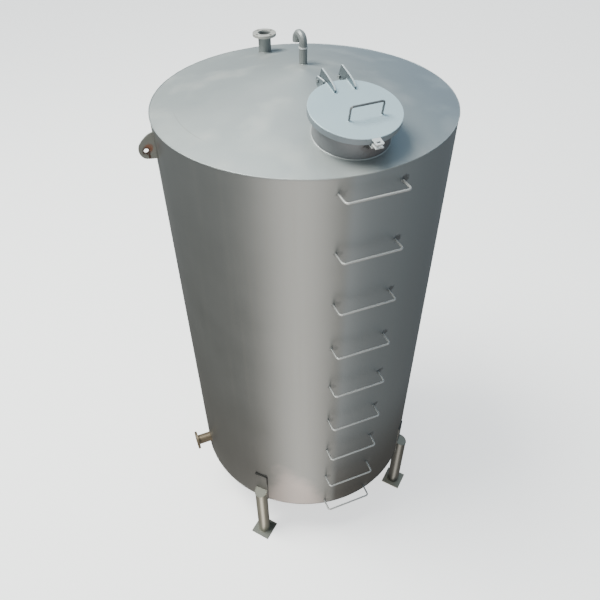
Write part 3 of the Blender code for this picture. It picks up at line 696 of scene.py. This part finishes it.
# Brown beside the nozzle's foot: rust and a painted shadow of the flange
lay_over(roof_enamel, rust_and_painted_shadow, BROWN_RUST)
dress("roof_cone", roof_enamel, edge=1.0 * MM, corner=TIP_CORNER)
rim_joint = ring(Vector((0.0, AXIS_Y, RIM)), SHELL_RADIUS)
weld("weld_rim", [rim_joint], size=2.6 * MM, finish=roof_enamel)
print("the rim's bead is", round(2.0 * math.pi * SHELL_RADIUS, 2), "m long")

# %% [markdown]
# ## The manhole neck
# A short ring of the same plate stands square to the roof's slope, so its foot is a slightly wavy
# line on the cone. A Boolean could find that line. Sliding each point of a circle along the neck
# until it meets the roof is quicker, and its points suit the bead, which has stayed brighter than
# the plates. Rust has started behind the hasp, where the paint was burnt by its weld.

# %% Where the neck meets the roof
MANHOLE_TURN = 1.6
MANHOLE_OUT = 0.534
NECK_RADIUS = 0.183
SLIDES = 8
manhole_foot = around(MANHOLE_TURN, MANHOLE_OUT, 0.0)
manhole_foot.z = roof_height(manhole_foot)
manhole = (
    Matrix.Translation(manhole_foot)
    @ Matrix.Rotation(math.radians(MANHOLE_TURN), 4, "Z")
    @ Matrix.Rotation(ROOF_SLOPE, 4, "X")
)
manhole_up = manhole.to_3x3() @ Vector((0.0, 0.0, 1.0))


def onto_roof(point, direction):
    """Moves a point along a direction until it lies on the roof."""
    for _ in range(SLIDES):
        point = point - direction * ((point.z - roof_height(point)) * direction.z)
    return point


neck_circle = ring(Vector((0.0, 0.0, 0.0)), NECK_RADIUS + MM)
neck_joint = [onto_roof(manhole @ point, manhole_up) for point in neck_circle]
joint_heights = [point.z for point in neck_joint]
print("the neck's joint rises and falls by", round(max(joint_heights) - min(joint_heights), 4))

# %% Neck and its bead
BURNT_X = 0.055
BURNT_HEIGHT = 0.055
SPOTS_X = -0.020
SPOTS_HEIGHT = 0.078
neck_enamel = silver_enamel(
    "silver_enamel_sprayed_on_neck", "#7B7D80", "#6D6F72", roughness=0.58, metallic=0.40
)
bead_enamel = silver_enamel(
    "silver_enamel_over_weld_bead", "#A9ADAD", "#9A9F9F", roughness=0.45, metallic=0.70
)
burnt = manhole @ Vector((BURNT_X, -NECK_RADIUS, BURNT_HEIGHT))
behind_hasp = patch(neck_enamel, burnt, reach=160.0 * MM, grain=30.0 * MM, amount=0.40)
lay_over(neck_enamel, behind_hasp, BROWN_RUST)
spotted = manhole @ Vector((SPOTS_X, -NECK_RADIUS, SPOTS_HEIGHT))
spots = patch(neck_enamel, spotted, reach=35.0 * MM, grain=6.0 * MM, amount=0.8)
lay_over(neck_enamel, spots, BLACK_SCALE_AND_SHADE)
dress("manhole_neck", neck_enamel)
weld("weld_neck_foot", [neck_joint], size=3.5 * MM, finish=bead_enamel)
print("rust behind the hasp at", [round(v, 3) for v in burnt])

# %% [markdown]
# ## The cover and its handle
# The cover is a disc with a skirt that keeps rain out. It is handled most, so its enamel was renewed
# and is bluer than the roof's, while the skirt got only a thin coat. The handle is a 10 mm bar, bent
# twice, rubbed dull and welded at its feet. One paint could serve for all three, but then the
# cover would not stand out from the neck as it does on the tank.

# %% Cover, skirt and handle
COVER_TOP = 0.135
FITTING_X = 0.011
HANDLE_Y = -0.0746
HANDLE_HALF = 0.081
HANDLE_BAR_RADIUS = 5.0 * MM
# A thin bar has wide facets, so its sharp edges start at a wider angle than on the plates
BAR_CORNER = 40.0
cover_enamel = silver_enamel(
    "silver_enamel_renewed_on_cover", "#ABBEC5", "#9FB2BA", roughness=0.50, metallic=0.50
)
skirt_enamel = silver_enamel(
    "silver_enamel_thin_on_skirt", "#7C858B", "#70797F", roughness=0.58, metallic=0.40
)
handle_enamel = silver_enamel(
    "silver_enamel_worn_on_handle", "#6E7072", "#5A5C5E", roughness=0.42, metallic=0.60
)
dress("cover_plate", cover_enamel, edge=1.2 * MM)
dress("cover_skirt", skirt_enamel, edge=1.0 * MM)
dress("cover_handle", handle_enamel, edge=0.0, corner=BAR_CORNER)
handle_feet = []
for side in (-1.0, 1.0):
    foot = Vector((FITTING_X + side * HANDLE_HALF, HANDLE_Y, COVER_TOP))
    handle_feet.append([manhole @ point for point in ring(foot, HANDLE_BAR_RADIUS + MM, steps=24)])
weld("weld_handle_feet", handle_feet, 2.0 * MM, cover_enamel, body="cover")
print("the handle is", 2.0 * HANDLE_HALF, "m wide")

# %% [markdown]
# ## The hinge
# Two flat arms run back from the cover, past two lugs on the neck, and a short pin joins each arm to
# its lug. Their upper edges are painted a pale, dry tone: a painted highlight where they face the
# sky. A bevel could carry a material of its own there. As the plates stand upright, it is simpler to
# ask which way the surface faces. The pins were turned from bright bar, 12 mm thick, and never
# painted: bare steel is a true metal, so all of its colour is in what it reflects, and fine turning
# marks blur that.

# %% Enamel with painted highlights on the upper edges
HIGHLIGHT_LEAN = (0.2, 0.5)
arm_enamel = silver_enamel(
    "silver_enamel_sprayed_on_hinge_arms", "#626B70", "#565F64", roughness=0.42, metallic=0.70
)
lug_coat = silver_enamel(
    "silver_enamel_sprayed_on_hinge_lugs", "#727C81", "#666F74", roughness=0.45, metallic=0.60
)
for enamel, highlighted in ((arm_enamel, "#A3ACB0"), (lug_coat, "#BAC4C8")):
    tree = enamel.node_tree
    facing = add_node(tree, "ShaderNodeNewGeometry").outputs["Normal"]
    upright = add_node(tree, "ShaderNodeSeparateXYZ", {"Vector": facing}).outputs["Z"]
    painted_top_highlight = add_node(tree, "ShaderNodeMapRange", {"Value": upright, "From": HIGHLIGHT_LEAN})
    # Painted highlight: faces that lean upward are painted paler and drier
    lay_over(enamel, painted_top_highlight, {"Base Color": linear(highlighted), "Roughness": 0.55, "Metallic": 0.1})
print("an edge is rubbed where its upward lean passes", HIGHLIGHT_LEAN)

# %% Arms, lugs and their beads
HINGE_PLATE_HALF = 4.0 * MM
BEAD_OFF_PLATE = 0.5 * MM
ARM_HALF = 0.0508
ARM_JOINT = (0.128, 0.212)
LUG_SIDE = 0.0615
LUG_JOINT = (0.047, 0.095)
arm_joints = []
lug_joints = []
for side in (-1.0, 1.0):
    for face in (-1.0, 1.0):
        off_plate = face * (HINGE_PLATE_HALF + BEAD_OFF_PLATE)
        x = FITTING_X + side * ARM_HALF + off_plate
        arm_joints.append([manhole @ Vector((x, y, COVER_TOP)) for y in ARM_JOINT])
        x = FITTING_X + side * LUG_SIDE + off_plate
        y = math.sqrt(NECK_RADIUS ** 2 - x ** 2)
        lug_joints.append([manhole @ Vector((x, y, z)) for z in LUG_JOINT])
for side in ("left", "right"):
    dress("hinge_arm_" + side, arm_enamel)
    dress("hinge_lug_" + side, lug_coat)
weld("weld_arm_feet", arm_joints, 1.8 * MM, cover_enamel, "cover", closed=False)
weld("weld_hinge_lugs", lug_joints, 2.0 * MM, lug_coat, closed=False)
print("beads along the arms and lugs:", len(arm_joints) + len(lug_joints))

# %% Pins
TURNING_MARK = 2.5 * MM
TURNED_GLOSS = (0.30, 0.50)
turned_steel = bpy.data.materials.new("turned_mild_steel")
turned_steel.use_nodes = True
tree = turned_steel.node_tree
shader = tree.nodes["Principled BSDF"]
shader.inputs["Metallic"].default_value = 1.0
place = add_node(tree, "ShaderNodeTexCoord").outputs["Object"]
marks = add_node(tree, "ShaderNodeTexNoise", {"Vector": place, "Scale": 1.0 / TURNING_MARK, "Detail": 2.0})
steels = {"Factor_Float": marks, "A_Color": linear("#84888A"), "B_Color": linear("#A2A6A8")}
tone = add_node(tree, "ShaderNodeMix", steels, data_type="RGBA")
tree.links.new(in_use(tone), shader.inputs["Base Color"])
gloss = add_node(tree, "ShaderNodeMapRange", {"Value": marks, "To": TURNED_GLOSS})
tree.links.new(in_use(gloss), shader.inputs["Roughness"])
for name in ("hinge_pin_left", "hinge_pin_right"):
    dress(name, turned_steel, edge=0.5 * MM)
print("turning marks of", TURNING_MARK, "m")

# %% [markdown]
# ## The hasp
# A slotted tab on the cover comes down over a bent strap on the neck, and a padlock goes through
# both. They were painted last, with a brush, and are almost white. A brighter lamp on them would
# whiten the cover as well, so they get a paler enamel. The strap's beads follow the neck's curve.

# %% Tab and strap
HASP_X = -0.010
HASP_HALF = 0.020
STRAP_TOP = 0.0975
STRAP_UNDER = 0.0925
bright_enamel = silver_enamel(
    "silver_enamel_brushed_thick_and_bright", "#C9CCCC", "#B9BDBE", roughness=0.42, metallic=0.45
)
for name in ("hasp_tab_cover", "hasp_tab_neck"):
    dress(name, bright_enamel)
strap_joints = []
for height in (STRAP_TOP, STRAP_UNDER):
    xs = [HASP_X - HASP_HALF, HASP_X, HASP_X + HASP_HALF]
    strap_joints.append([manhole @ Vector((x, -math.sqrt(NECK_RADIUS ** 2 - x ** 2), height)) for x in xs])
weld("weld_hasp_strap", strap_joints, 1.5 * MM, neck_enamel, closed=False)
print("the strap is", 2.0 * HASP_HALF, "m wide")

# %% [markdown]
# ## The pipes on the roof
# The nozzle for filling is a short 73 mm pipe with a flange and four empty bolt holes. The vent, a
# little behind the middle of the roof, is a thinner pipe with a collar and a return bend, open
# downward so that rain stays out. Their measured shapes are right as they are, so they only need
# paint, and beads where the pipes stand on the slope, found in the same way as the neck's.

# %% Nozzle and vent
PIPE_RADIUS = 36.5 * MM
VENT_RADIUS = 21.2 * MM
VENT_TURN = 160.0
VENT_OUT = 0.110
FLANGE_THICK = 16.0 * MM
NOZZLE_FACE = 0.109
UP = Vector((0.0, 0.0, 1.0))
fitting_enamel = silver_enamel(
    "silver_enamel_brushed_on_fittings", "#828686", "#727676", roughness=0.50, metallic=0.50
)
flange_enamel = silver_enamel(
    "silver_enamel_weathered_on_flange", "#A9A8A3", "#94938F", roughness=0.55, metallic=0.45
)
for name in ("roof_nozzle_pipe", "vent_riser", "vent_gooseneck"):
    dress(name, fitting_enamel)
dress("roof_nozzle_flange", flange_enamel)
dress("vent_collar", bright_enamel)

nozzle_axis = around(NOZZLE_TURN, NOZZLE_OUT, 0.0)
vent_axis = around(VENT_TURN, VENT_OUT, 0.0)
nozzle_joint = [onto_roof(point, UP) for point in ring(nozzle_axis, PIPE_RADIUS + MM, steps=48)]
vent_joint = [onto_roof(point, UP) for point in ring(vent_axis, VENT_RADIUS + MM, steps=48)]
nozzle_axis.z = roof_height(nozzle_axis) + NOZZLE_FACE - FLANGE_THICK
flange_joint = ring(nozzle_axis, PIPE_RADIUS + MM, steps=48)
roof_joints = [nozzle_joint, vent_joint, flange_joint]
weld("weld_roof_pipes", roof_joints, size=3.0 * MM, finish=fitting_enamel)
print("the flange is welded at a height of", round(nozzle_axis.z, 3))

# %% [markdown]
# ## The ladder
# Nine rungs are bent from 12 mm bar to a flat U and welded to the shell. Hands and boots keep them
# pale. The beads at their feet were sprayed with the wall and burnt with it, so they take the
# shell's own enamel, soot and all. A flat ring would stand off the curved shell, so each point of
# the ring is moved onto it.

# %% Rungs and their feet
RUNG_COUNT = 9
RUNG_BAR_RADIUS = 6.0 * MM
rung_enamel = silver_enamel(
    "silver_enamel_rubbed_on_rungs", "#ACACAA", "#9C9C9A", roughness=0.46, metallic=0.48
)


def onto_front(point):
    """Moves a point along the depth onto the shell's outside, on the ladder's side."""
    return Vector((point.x, AXIS_Y - math.sqrt(SHELL_RADIUS ** 2 - point.x ** 2), point.z))


rung_joints = []
for number in range(RUNG_COUNT):
    dress("rung_" + str(number + 1), rung_enamel, edge=0.0, corner=BAR_CORNER)
    height = RIM - RUNG_FIRST - number * RUNG_SPACING
    for side in (-1.0, 1.0):
        foot = Vector((side * RUNG_HALF, 0.0, height))
        circle = ring(foot, RUNG_BAR_RADIUS + BEAD_OFF_PLATE, along=UP, steps=24)
        rung_joints.append([onto_front(point) for point in circle])
weld("weld_rung_feet", rung_joints, size=2.4 * MM, finish=shell_enamel)
print("rungs:", RUNG_COUNT, "and beads at their feet:", len(rung_joints))

# %% [markdown]
# ## The lifting lugs
# Two thick plates stand out from the shell, each with an eye for a crane's hook. The hook has broken
# the paint round the eye: the bare edge has rusted brown, with orange beside it and a streak down
# to the lug's foot. The dark brown round the eye is also painted shade, where the eye's inner edge
# lies in shadow. Rust could be a bump of its own, but it is as thin as the paint here, so three
# patches about the eye are enough.

# %% Lugs, rust and beads
LUG_EYE_OUT = 0.850
LUG_EYE_DROP = 0.122
LUG_TOP = 0.031
LUG_FOOT = 0.173
LUG_PLATE_HALF = 5.0 * MM
# Each patch lies a little nearer to the shell than the eye's middle, and above or below it
WARM_IN = 14.0 * MM
WARM_UP = 12.0 * MM
STREAK_IN = 12.0 * MM
STREAK_DOWN = 30.0 * MM
lug_enamel = silver_enamel(
    "silver_enamel_on_lifting_lugs", "#6E706C", "#62645F", roughness=0.45, metallic=0.70
)
for side in (-1.0, 1.0):
    eye_height = RIM - LUG_EYE_DROP
    rust_and_shade_at_eye = (side * LUG_EYE_OUT, AXIS_Y, eye_height)
    warm_edge = (side * (LUG_EYE_OUT - WARM_IN), AXIS_Y, eye_height + WARM_UP)
    streak = (side * (LUG_EYE_OUT - STREAK_IN), AXIS_Y, eye_height - STREAK_DOWN)
    orange = patch(lug_enamel, warm_edge, reach=36.0 * MM, grain=10.0 * MM, amount=0.65)
    lay_over(lug_enamel, orange, ORANGE_RUST)
    # Brown rust about the eye, which also paints the shade inside it
    brown = patch(lug_enamel, rust_and_shade_at_eye, reach=34.0 * MM, grain=6.0 * MM)
    lay_over(lug_enamel, brown, BROWN_RUST)
    running = patch(lug_enamel, streak, reach=34.0 * MM, grain=8.0 * MM, stretch=(3.6, 1.0, 1.0))
    lay_over(lug_enamel, running, BROWN_RUST)
lug_runs = []
for name, side in (("lifting_lug_left", -1.0), ("lifting_lug_right", 1.0)):
    dress(name, lug_enamel, edge=1.0 * MM)
    x = side * (SHELL_RADIUS + MM)
    for face in (-1.0, 1.0):
        y = AXIS_Y + face * (LUG_PLATE_HALF + MM)
        lug_runs.append([Vector((x, y, RIM - drop)) for drop in (LUG_TOP, LUG_FOOT)])
weld("weld_lifting_lugs", lug_runs, 2.2 * MM, lug_enamel, closed=False)
print("beads along the lifting lugs:", len(lug_runs))

# %% [markdown]
# ## The outlet
# Near the foot of the wall, on the left, a pipe and a flange take the fuel out. Splashes from the
# ground have turned their silver to beige. A layer of dust over the fittings' enamel could give
# that, but nothing of the silver is left here, so the enamel itself is mixed in the soil's tones.

# %% Outlet
OUTLET_HEIGHT = SHELL_FOOT + 0.150
OUTLET_FACE = 0.912
splashed_enamel = silver_enamel(
    "silver_enamel_splashed_with_soil", "#6A5E4C", "#52493C", roughness=0.50, metallic=0.50
)
for name in ("outlet_pipe", "outlet_flange"):
    dress(name, splashed_enamel)
outlet_joint = []
for point in ring(Vector((0.0, 0.0, 0.0)), PIPE_RADIUS + MM, steps=48):
    x = -math.sqrt(SHELL_RADIUS ** 2 - point.x ** 2)
    outlet_joint.append(Vector((x, AXIS_Y + point.x, OUTLET_HEIGHT + point.y)))
flange_back = Vector((-OUTLET_FACE + FLANGE_THICK, AXIS_Y, OUTLET_HEIGHT))
outlet_ring = ring(flange_back, PIPE_RADIUS + MM, Vector((0.0, 1.0, 0.0)), UP, steps=48)
weld("weld_outlet", [outlet_joint, outlet_ring], size=3.0 * MM, finish=splashed_enamel)
print("the outlet's middle is", round(OUTLET_HEIGHT, 3), "m up")

# %% [markdown]
# ## Paint, dust, and painted light and shade on the legs
# Each leg is a length of 89 mm pipe under a pad plate, with a sloping top that is welded shut and a
# square plate at its foot. Dust settles on what faces up, so a mask goes by the way the surface
# faces. The legs' tones are pale, so that the left leg's highlight is painted bright. The right-hand
# legs are painted darker, as painted shade; the dust on the tops is painted darker on the left and
# paler on the right, and the right base plates paler, as painted light. A second mask adds this
# from left to right. Four materials could do it, but one with a mask keeps the legs alike, as they
# were painted.

# %% Enamels of the legs and base plates
# The legs' painted shade and painted light pass from left to right between these x
LEGS_LEFT_TO_RIGHT = (-0.2, 0.2)
# The legs' tones are pale so that the left leg's highlight is painted bright
leg_enamel = silver_enamel(
    "silver_enamel_dusty_on_legs", "#ABA99B", "#8F8D81", roughness=0.32, metallic=0.78
)
foot_plate_enamel = silver_enamel(
    "silver_enamel_trodden_on_base_plates", "#686A64", "#565852", roughness=0.60, metallic=0.30
)


def towards_the_right(material, amount):
    """A mask that grows from the tank's left side to its right."""
    tree = material.node_tree
    place = add_node(tree, "ShaderNodeTexCoord").outputs["Object"]
    right = add_node(tree, "ShaderNodeSeparateXYZ", {"Vector": place}).outputs["X"]
    ends = {"Value": right, "From": LEGS_LEFT_TO_RIGHT, "To": (0.0, amount)}
    return add_node(tree, "ShaderNodeMapRange", ends)


print("the legs grow grimy from x", LEGS_LEFT_TO_RIGHT[0], "to", LEGS_LEFT_TO_RIGHT[1])

# %% Painted shade, painted light and dust on them
SHADE_ON_THE_RIGHT = 0.9
LIGHT_ON_THE_RIGHT_PLATES = 0.8
DUSTY_LEAN = (0.4, 0.9)
DUST_ON_TOPS = 0.85
tree = leg_enamel.node_tree
facing = add_node(tree, "ShaderNodeNewGeometry").outputs["Normal"]
upright = add_node(tree, "ShaderNodeSeparateXYZ", {"Vector": facing}).outputs["Z"]
settled = add_node(
    tree,
    "ShaderNodeMapRange",
    {"Value": upright, "From": DUSTY_LEAN, "To": (0.0, DUST_ON_TOPS)},
    interpolation_type="SMOOTHSTEP",
)
dust_and_light_tones = {
    "Factor_Float": towards_the_right(leg_enamel, 1.0),
    "A_Color": linear("#5E5E57"),
    "B_Color": linear("#A39E90"),
}
dust_and_light_tone = add_node(tree, "ShaderNodeMix", dust_and_light_tones, data_type="RGBA")
painted_darker = towards_the_right(leg_enamel, SHADE_ON_THE_RIGHT)
# Painted shade: the right-hand legs are painted darker
lay_over(leg_enamel, painted_darker, {"Base Color": linear("#565755")})
# Dust on upward faces, its tone painted darker on the left and paler on the right, in place of light and
# shade
lay_over(leg_enamel, settled, {"Base Color": in_use(dust_and_light_tone), "Roughness": 0.75, "Metallic": 0.15})
painted_light_plates = towards_the_right(foot_plate_enamel, LIGHT_ON_THE_RIGHT_PLATES)
# Painted light: the right-hand base plates are painted paler
lay_over(foot_plate_enamel, painted_light_plates, {"Base Color": linear("#A8A292")})
print("nodes in the legs' enamel:", len(tree.nodes))

# %% [markdown]
# ## The legs and their welds
# The pads were welded down their sides. On the left, a thin black bead runs along the top of each
# pad and a little way down its sides, where the side welds stop. On the right the top is welded in
# the shell's paint. Such a line could be dark paint, but a thin bead also throws a small shadow.
# All lines are worked out for one leg and turned to the four places by a loop.

# %% Lines along the legs
LEG_TURNS = (-45.0, 45.0, 135.0, -135.0)
LEG_OUT = 0.822
LEG_RADIUS = 0.04455
LEG_TOP = SHELL_FOOT + 0.130
LEG_TOP_SLOPE = math.radians(23.0)
LEG_TOP_STEPS = 12
PAD_FACE = 0.8063
PAD_HALF = 0.0447
PAD_TOP = SHELL_FOOT + 0.307
BASE_TOP = 10.0 * MM
OPEN_SIDE = 0.095
LINE_UNDER_FACE = 2.0 * MM
PIPE_MEETS_PAD = math.acos((PAD_FACE - LEG_OUT) / LEG_RADIUS)
top_runs, side_runs, foot_rings = [], [], []
pad_sides, closed_joints, black_line_tops, black_line_sides = [], [], [], []
for leg_turn in LEG_TURNS:
    top_run = []
    for step in range(-LEG_TOP_STEPS, LEG_TOP_STEPS + 1):
        t = PIPE_MEETS_PAD * step / LEG_TOP_STEPS
        out = LEG_OUT + LEG_RADIUS * math.cos(t)
        height = LEG_TOP - (out - PAD_FACE) * math.tan(LEG_TOP_SLOPE)
        top_run.append(around(leg_turn, out, height, LEG_RADIUS * math.sin(t)))
    top_runs.append(top_run)
    foot_rings.append(ring(around(leg_turn, LEG_OUT, BASE_TOP), LEG_RADIUS + MM, steps=64))
    for face in (-1.0, 1.0):
        side = face * LEG_RADIUS * math.sin(PIPE_MEETS_PAD)
        side_runs.append([around(leg_turn, PAD_FACE, z, side) for z in (SHELL_FOOT, LEG_TOP)])
        edge = face * (PAD_HALF + MM)
        heights = (SHELL_FOOT, PAD_TOP - OPEN_SIDE)
        pad_sides.append([around(leg_turn, SHELL_RADIUS + MM, z, edge) for z in heights])
    across_pad = (-PAD_HALF, 0.0, PAD_HALF)
    pad_top = [around(leg_turn, PAD_FACE - MM, PAD_TOP + MM, x) for x in across_pad]
    heights = (PAD_TOP, PAD_TOP - OPEN_SIDE)
    under_face = PAD_FACE - LINE_UNDER_FACE
    pad_side = [around(leg_turn, under_face, z, PAD_HALF + MM) for z in heights]
    if leg_turn < 0.0:
        black_line_tops.append(pad_top)
        black_line_sides.append(pad_side)
    else:
        closed_joints.extend([pad_top, pad_side])
print("lines along the four legs:", len(top_runs + side_runs + foot_rings + pad_sides))

# %% Legs, pads, base plates and beads
# Darker beads along the legs' and pads' sides: painted shade where these seams lie in shadow
shaded_seam_enamel = silver_enamel(
    "silver_enamel_with_painted_shade_on_leg_seams", "#6C6F6F", "#4C4D4C", roughness=0.55, metallic=0.40
)
black_line_enamel = silver_enamel(
    "black_enamel_along_pad_tops", "#1A1817", "#0E0D0C", roughness=0.80, metallic=0.0
)
for number in range(1, len(LEG_TURNS) + 1):
    dress("leg_pad_" + str(number), shell_enamel, edge=0.6 * MM)
    dress("leg_pipe_" + str(number), leg_enamel, edge=1.0 * MM)
    dress("leg_base_plate_" + str(number), foot_plate_enamel, edge=1.0 * MM)
weld("weld_leg_feet", foot_rings, size=3.5 * MM, finish=leg_enamel)
weld("weld_leg_tops", top_runs, size=2.5 * MM, finish=leg_enamel, closed=False)
weld("weld_leg_sides", side_runs, size=1.5 * MM, finish=shaded_seam_enamel, closed=False)
weld("weld_pad_sides", pad_sides, size=1.2 * MM, finish=shaded_seam_enamel, closed=False)
weld("weld_pad_tops", closed_joints, size=1.2 * MM, finish=shell_enamel, closed=False)
# A thin black bead along the tops of the left-hand pads, and another down the upper part of their sides
weld("black_line_on_pad_tops", black_line_tops, size=5.5 * MM, finish=black_line_enamel, closed=False)
weld("black_line_on_pad_sides", black_line_sides, size=2.6 * MM, finish=black_line_enamel, closed=False)
print("legs:", len(LEG_TURNS))

# %% [markdown]
# ## The floor
# The tank stands on a plain, pale sheet. It glows a little, as lit paper does, so that it stays pale
# everywhere. Left to itself it would also whiten the underside and the lower wall, which are dark on
# the tank. In a studio dark cards would stop that. Here the floor is simply kept out of the
# reflections and of the light that bounces.

# %% Floor
FLOOR_HALF = 60.0
corners = [(-1.0, -1.0), (1.0, -1.0), (1.0, 1.0), (-1.0, 1.0)]
floor_mesh = bpy.data.meshes.new("floor")
floor_mesh.from_pydata([(x * FLOOR_HALF, y * FLOOR_HALF, 0.0) for x, y in corners], [], [(0, 1, 2, 3)])
floor = bpy.data.objects.new("floor", floor_mesh)
bpy.context.scene.collection.objects.link(floor)
floor_finish = bpy.data.materials.new("matt_pale_paper")
floor_finish.use_nodes = True
shader = floor_finish.node_tree.nodes["Principled BSDF"]
shader.inputs["Base Color"].default_value = linear("#DADAD8")
shader.inputs["Roughness"].default_value = 0.9
shader.inputs["Emission Color"].default_value = linear("#FFFFFF")
shader.inputs["Emission Strength"].default_value = 1.2
floor_mesh.materials.append(floor_finish)
floor.visible_glossy = False
floor.visible_diffuse = False
print("the floor is", 2.0 * FLOOR_HALF, "m wide")

# %% [markdown]
# ## The light
# One broad soft box, high behind the tank's left, gives the roof its sheen and the manhole its soft
# shadow. All other light comes from the surroundings, because silver paint shows what is round it.
# A picture of a real sky could serve, but a few graded tones are plainer: pale overhead, cooler on
# the right, darker below and behind, and one bright strip on the ground ahead. The wall is seen from
# above, so it mirrors the ground, and the strip draws the bright band down its middle.

# %% Soft box
BOX_TURN = -106.0
BOX_HEIGHT = 12.0
BOX_OUT = 4.6
BOX_SIDE = 5.0
BOX_POWER = 3000.0
AIM_HEIGHT = 1.9
lamp = bpy.data.lights.new("roof_box", "AREA")
lamp.shape = "SQUARE"
lamp.size = BOX_SIDE
lamp.energy = BOX_POWER
lamp.color = linear("#F9FBF5")[:3]
soft_box = bpy.data.objects.new("roof_box", lamp)
bpy.context.scene.collection.objects.link(soft_box)
soft_box.visible_camera = False
soft_box.location = around(BOX_TURN, BOX_OUT, BOX_HEIGHT)
towards_tank = Vector((0.0, AXIS_Y, AIM_HEIGHT)) - soft_box.location
soft_box.rotation_euler = towards_tank.to_track_quat("-Z", "Y").to_euler()
print("the soft box hangs", BOX_HEIGHT, "m up")

# %% Directions of the sky
BAND_TURN = math.radians(-26.0)
sky = bpy.data.worlds.new("studio")
sky.use_nodes = True
sky_tree = sky.node_tree
direction = add_node(sky_tree, "ShaderNodeTexCoord").outputs["Generated"]
axes = add_node(sky_tree, "ShaderNodeSeparateXYZ", {"Vector": direction}).outputs


def graded(value, ends, first, second):
    """A tone of the sky that passes softly from a first to a second one between two values."""
    share = add_node(
        sky_tree, "ShaderNodeMapRange", {"Value": value, "From": ends}, interpolation_type="SMOOTHSTEP"
    )
    tones = {"Factor_Float": share, "A_Color": first, "B_Color": second}
    return add_node(sky_tree, "ShaderNodeMix", tones, data_type="RGBA")


ahead_way = (math.sin(BAND_TURN), -math.cos(BAND_TURN), 0.0)
aside_way = (math.cos(BAND_TURN), math.sin(BAND_TURN), 0.0)
# How far each direction of the sky leans ahead and aside, from minus one to one
ahead = add_node(
    sky_tree, "ShaderNodeVectorMath", {"Vector": direction, "Vector_001": ahead_way}, operation="DOT_PRODUCT"
).outputs["Value"]
aside = add_node(
    sky_tree, "ShaderNodeVectorMath", {"Vector": direction, "Vector_001": aside_way}, operation="DOT_PRODUCT"
).outputs["Value"]
print("the strip lies at", round(math.degrees(BAND_TURN), 1), "degrees from the ladder's side")

# %% Tones of the sky and the ground
# Each pair says where, between minus one and one, one tone starts to pass into the next
LEFT_TO_RIGHT = (-0.4, 0.4)
LOW_TO_HIGH = (0.3, 1.0)
BACK_TO_FRONT = (-0.7, 0.6)
NEAR_TO_FAR = (-0.85, -0.15)
GROUND_TO_SKY = (-0.10, 0.15)
SKY_STRENGTH = 1.5
low_sky = graded(axes["X"], LEFT_TO_RIGHT, linear("#B0B6B4"), linear("#8496A2"))
high_sky = graded(axes["X"], LEFT_TO_RIGHT, linear("#E4E8E3"), linear("#86A0B8"))
vault = graded(axes["Z"], LOW_TO_HIGH, low_sky, high_sky)
near_ground = graded(ahead, BACK_TO_FRONT, linear("#4E4B46"), linear("#A09C96"))
far_ground = graded(ahead, BACK_TO_FRONT, linear("#82888C"), linear("#C0C4C5"))
ground = graded(axes["Z"], NEAR_TO_FAR, near_ground, far_ground)
surroundings = graded(axes["Z"], GROUND_TO_SKY, ground, vault)
background = sky_tree.nodes["Background"]
sky_tree.links.new(in_use(surroundings), background.inputs["Color"])
background.inputs["Strength"].default_value = SKY_STRENGTH
print("nodes in the sky so far:", len(sky_tree.nodes))

# %% The bright strip on the ground
BAND_WIDTH = math.radians(46.0)
BAND_STRENGTH = 2.9
STRIP_ENDS = (-0.1, 0.1)
round_about = add_node(
    sky_tree, "ShaderNodeMath", {"Value": aside, "Value_001": ahead}, operation="ARCTAN2"
)
off_middle = add_node(sky_tree, "ShaderNodeMath", {"Value": round_about}, operation="ABSOLUTE")
across = add_node(
    sky_tree,
    "ShaderNodeMapRange",
    {"Value": off_middle, "From": (0.0, BAND_WIDTH), "To": (1.0, 0.0)},
    interpolation_type="SMOOTHSTEP",
)
below = add_node(
    sky_tree,
    "ShaderNodeMapRange",
    {"Value": axes["Z"], "From": STRIP_ENDS, "To": (1.0, 0.0)},
    interpolation_type="SMOOTHSTEP",
)
strip = add_node(sky_tree, "ShaderNodeMath", {"Value": across, "Value_001": below}, operation="MULTIPLY")
strip_light = add_node(
    sky_tree, "ShaderNodeMath", {"Value": strip, "Value_001": BAND_STRENGTH}, operation="MULTIPLY"
)
glow = add_node(sky_tree, "ShaderNodeBackground", {"Color": linear("#FFF8F0"), "Strength": strip_light})
both_lights = add_node(sky_tree, "ShaderNodeAddShader", {"Shader": background, "Shader_001": glow})
sky_tree.links.new(in_use(both_lights), sky_tree.nodes["World Output"].inputs["Surface"])
bpy.context.scene.world = sky
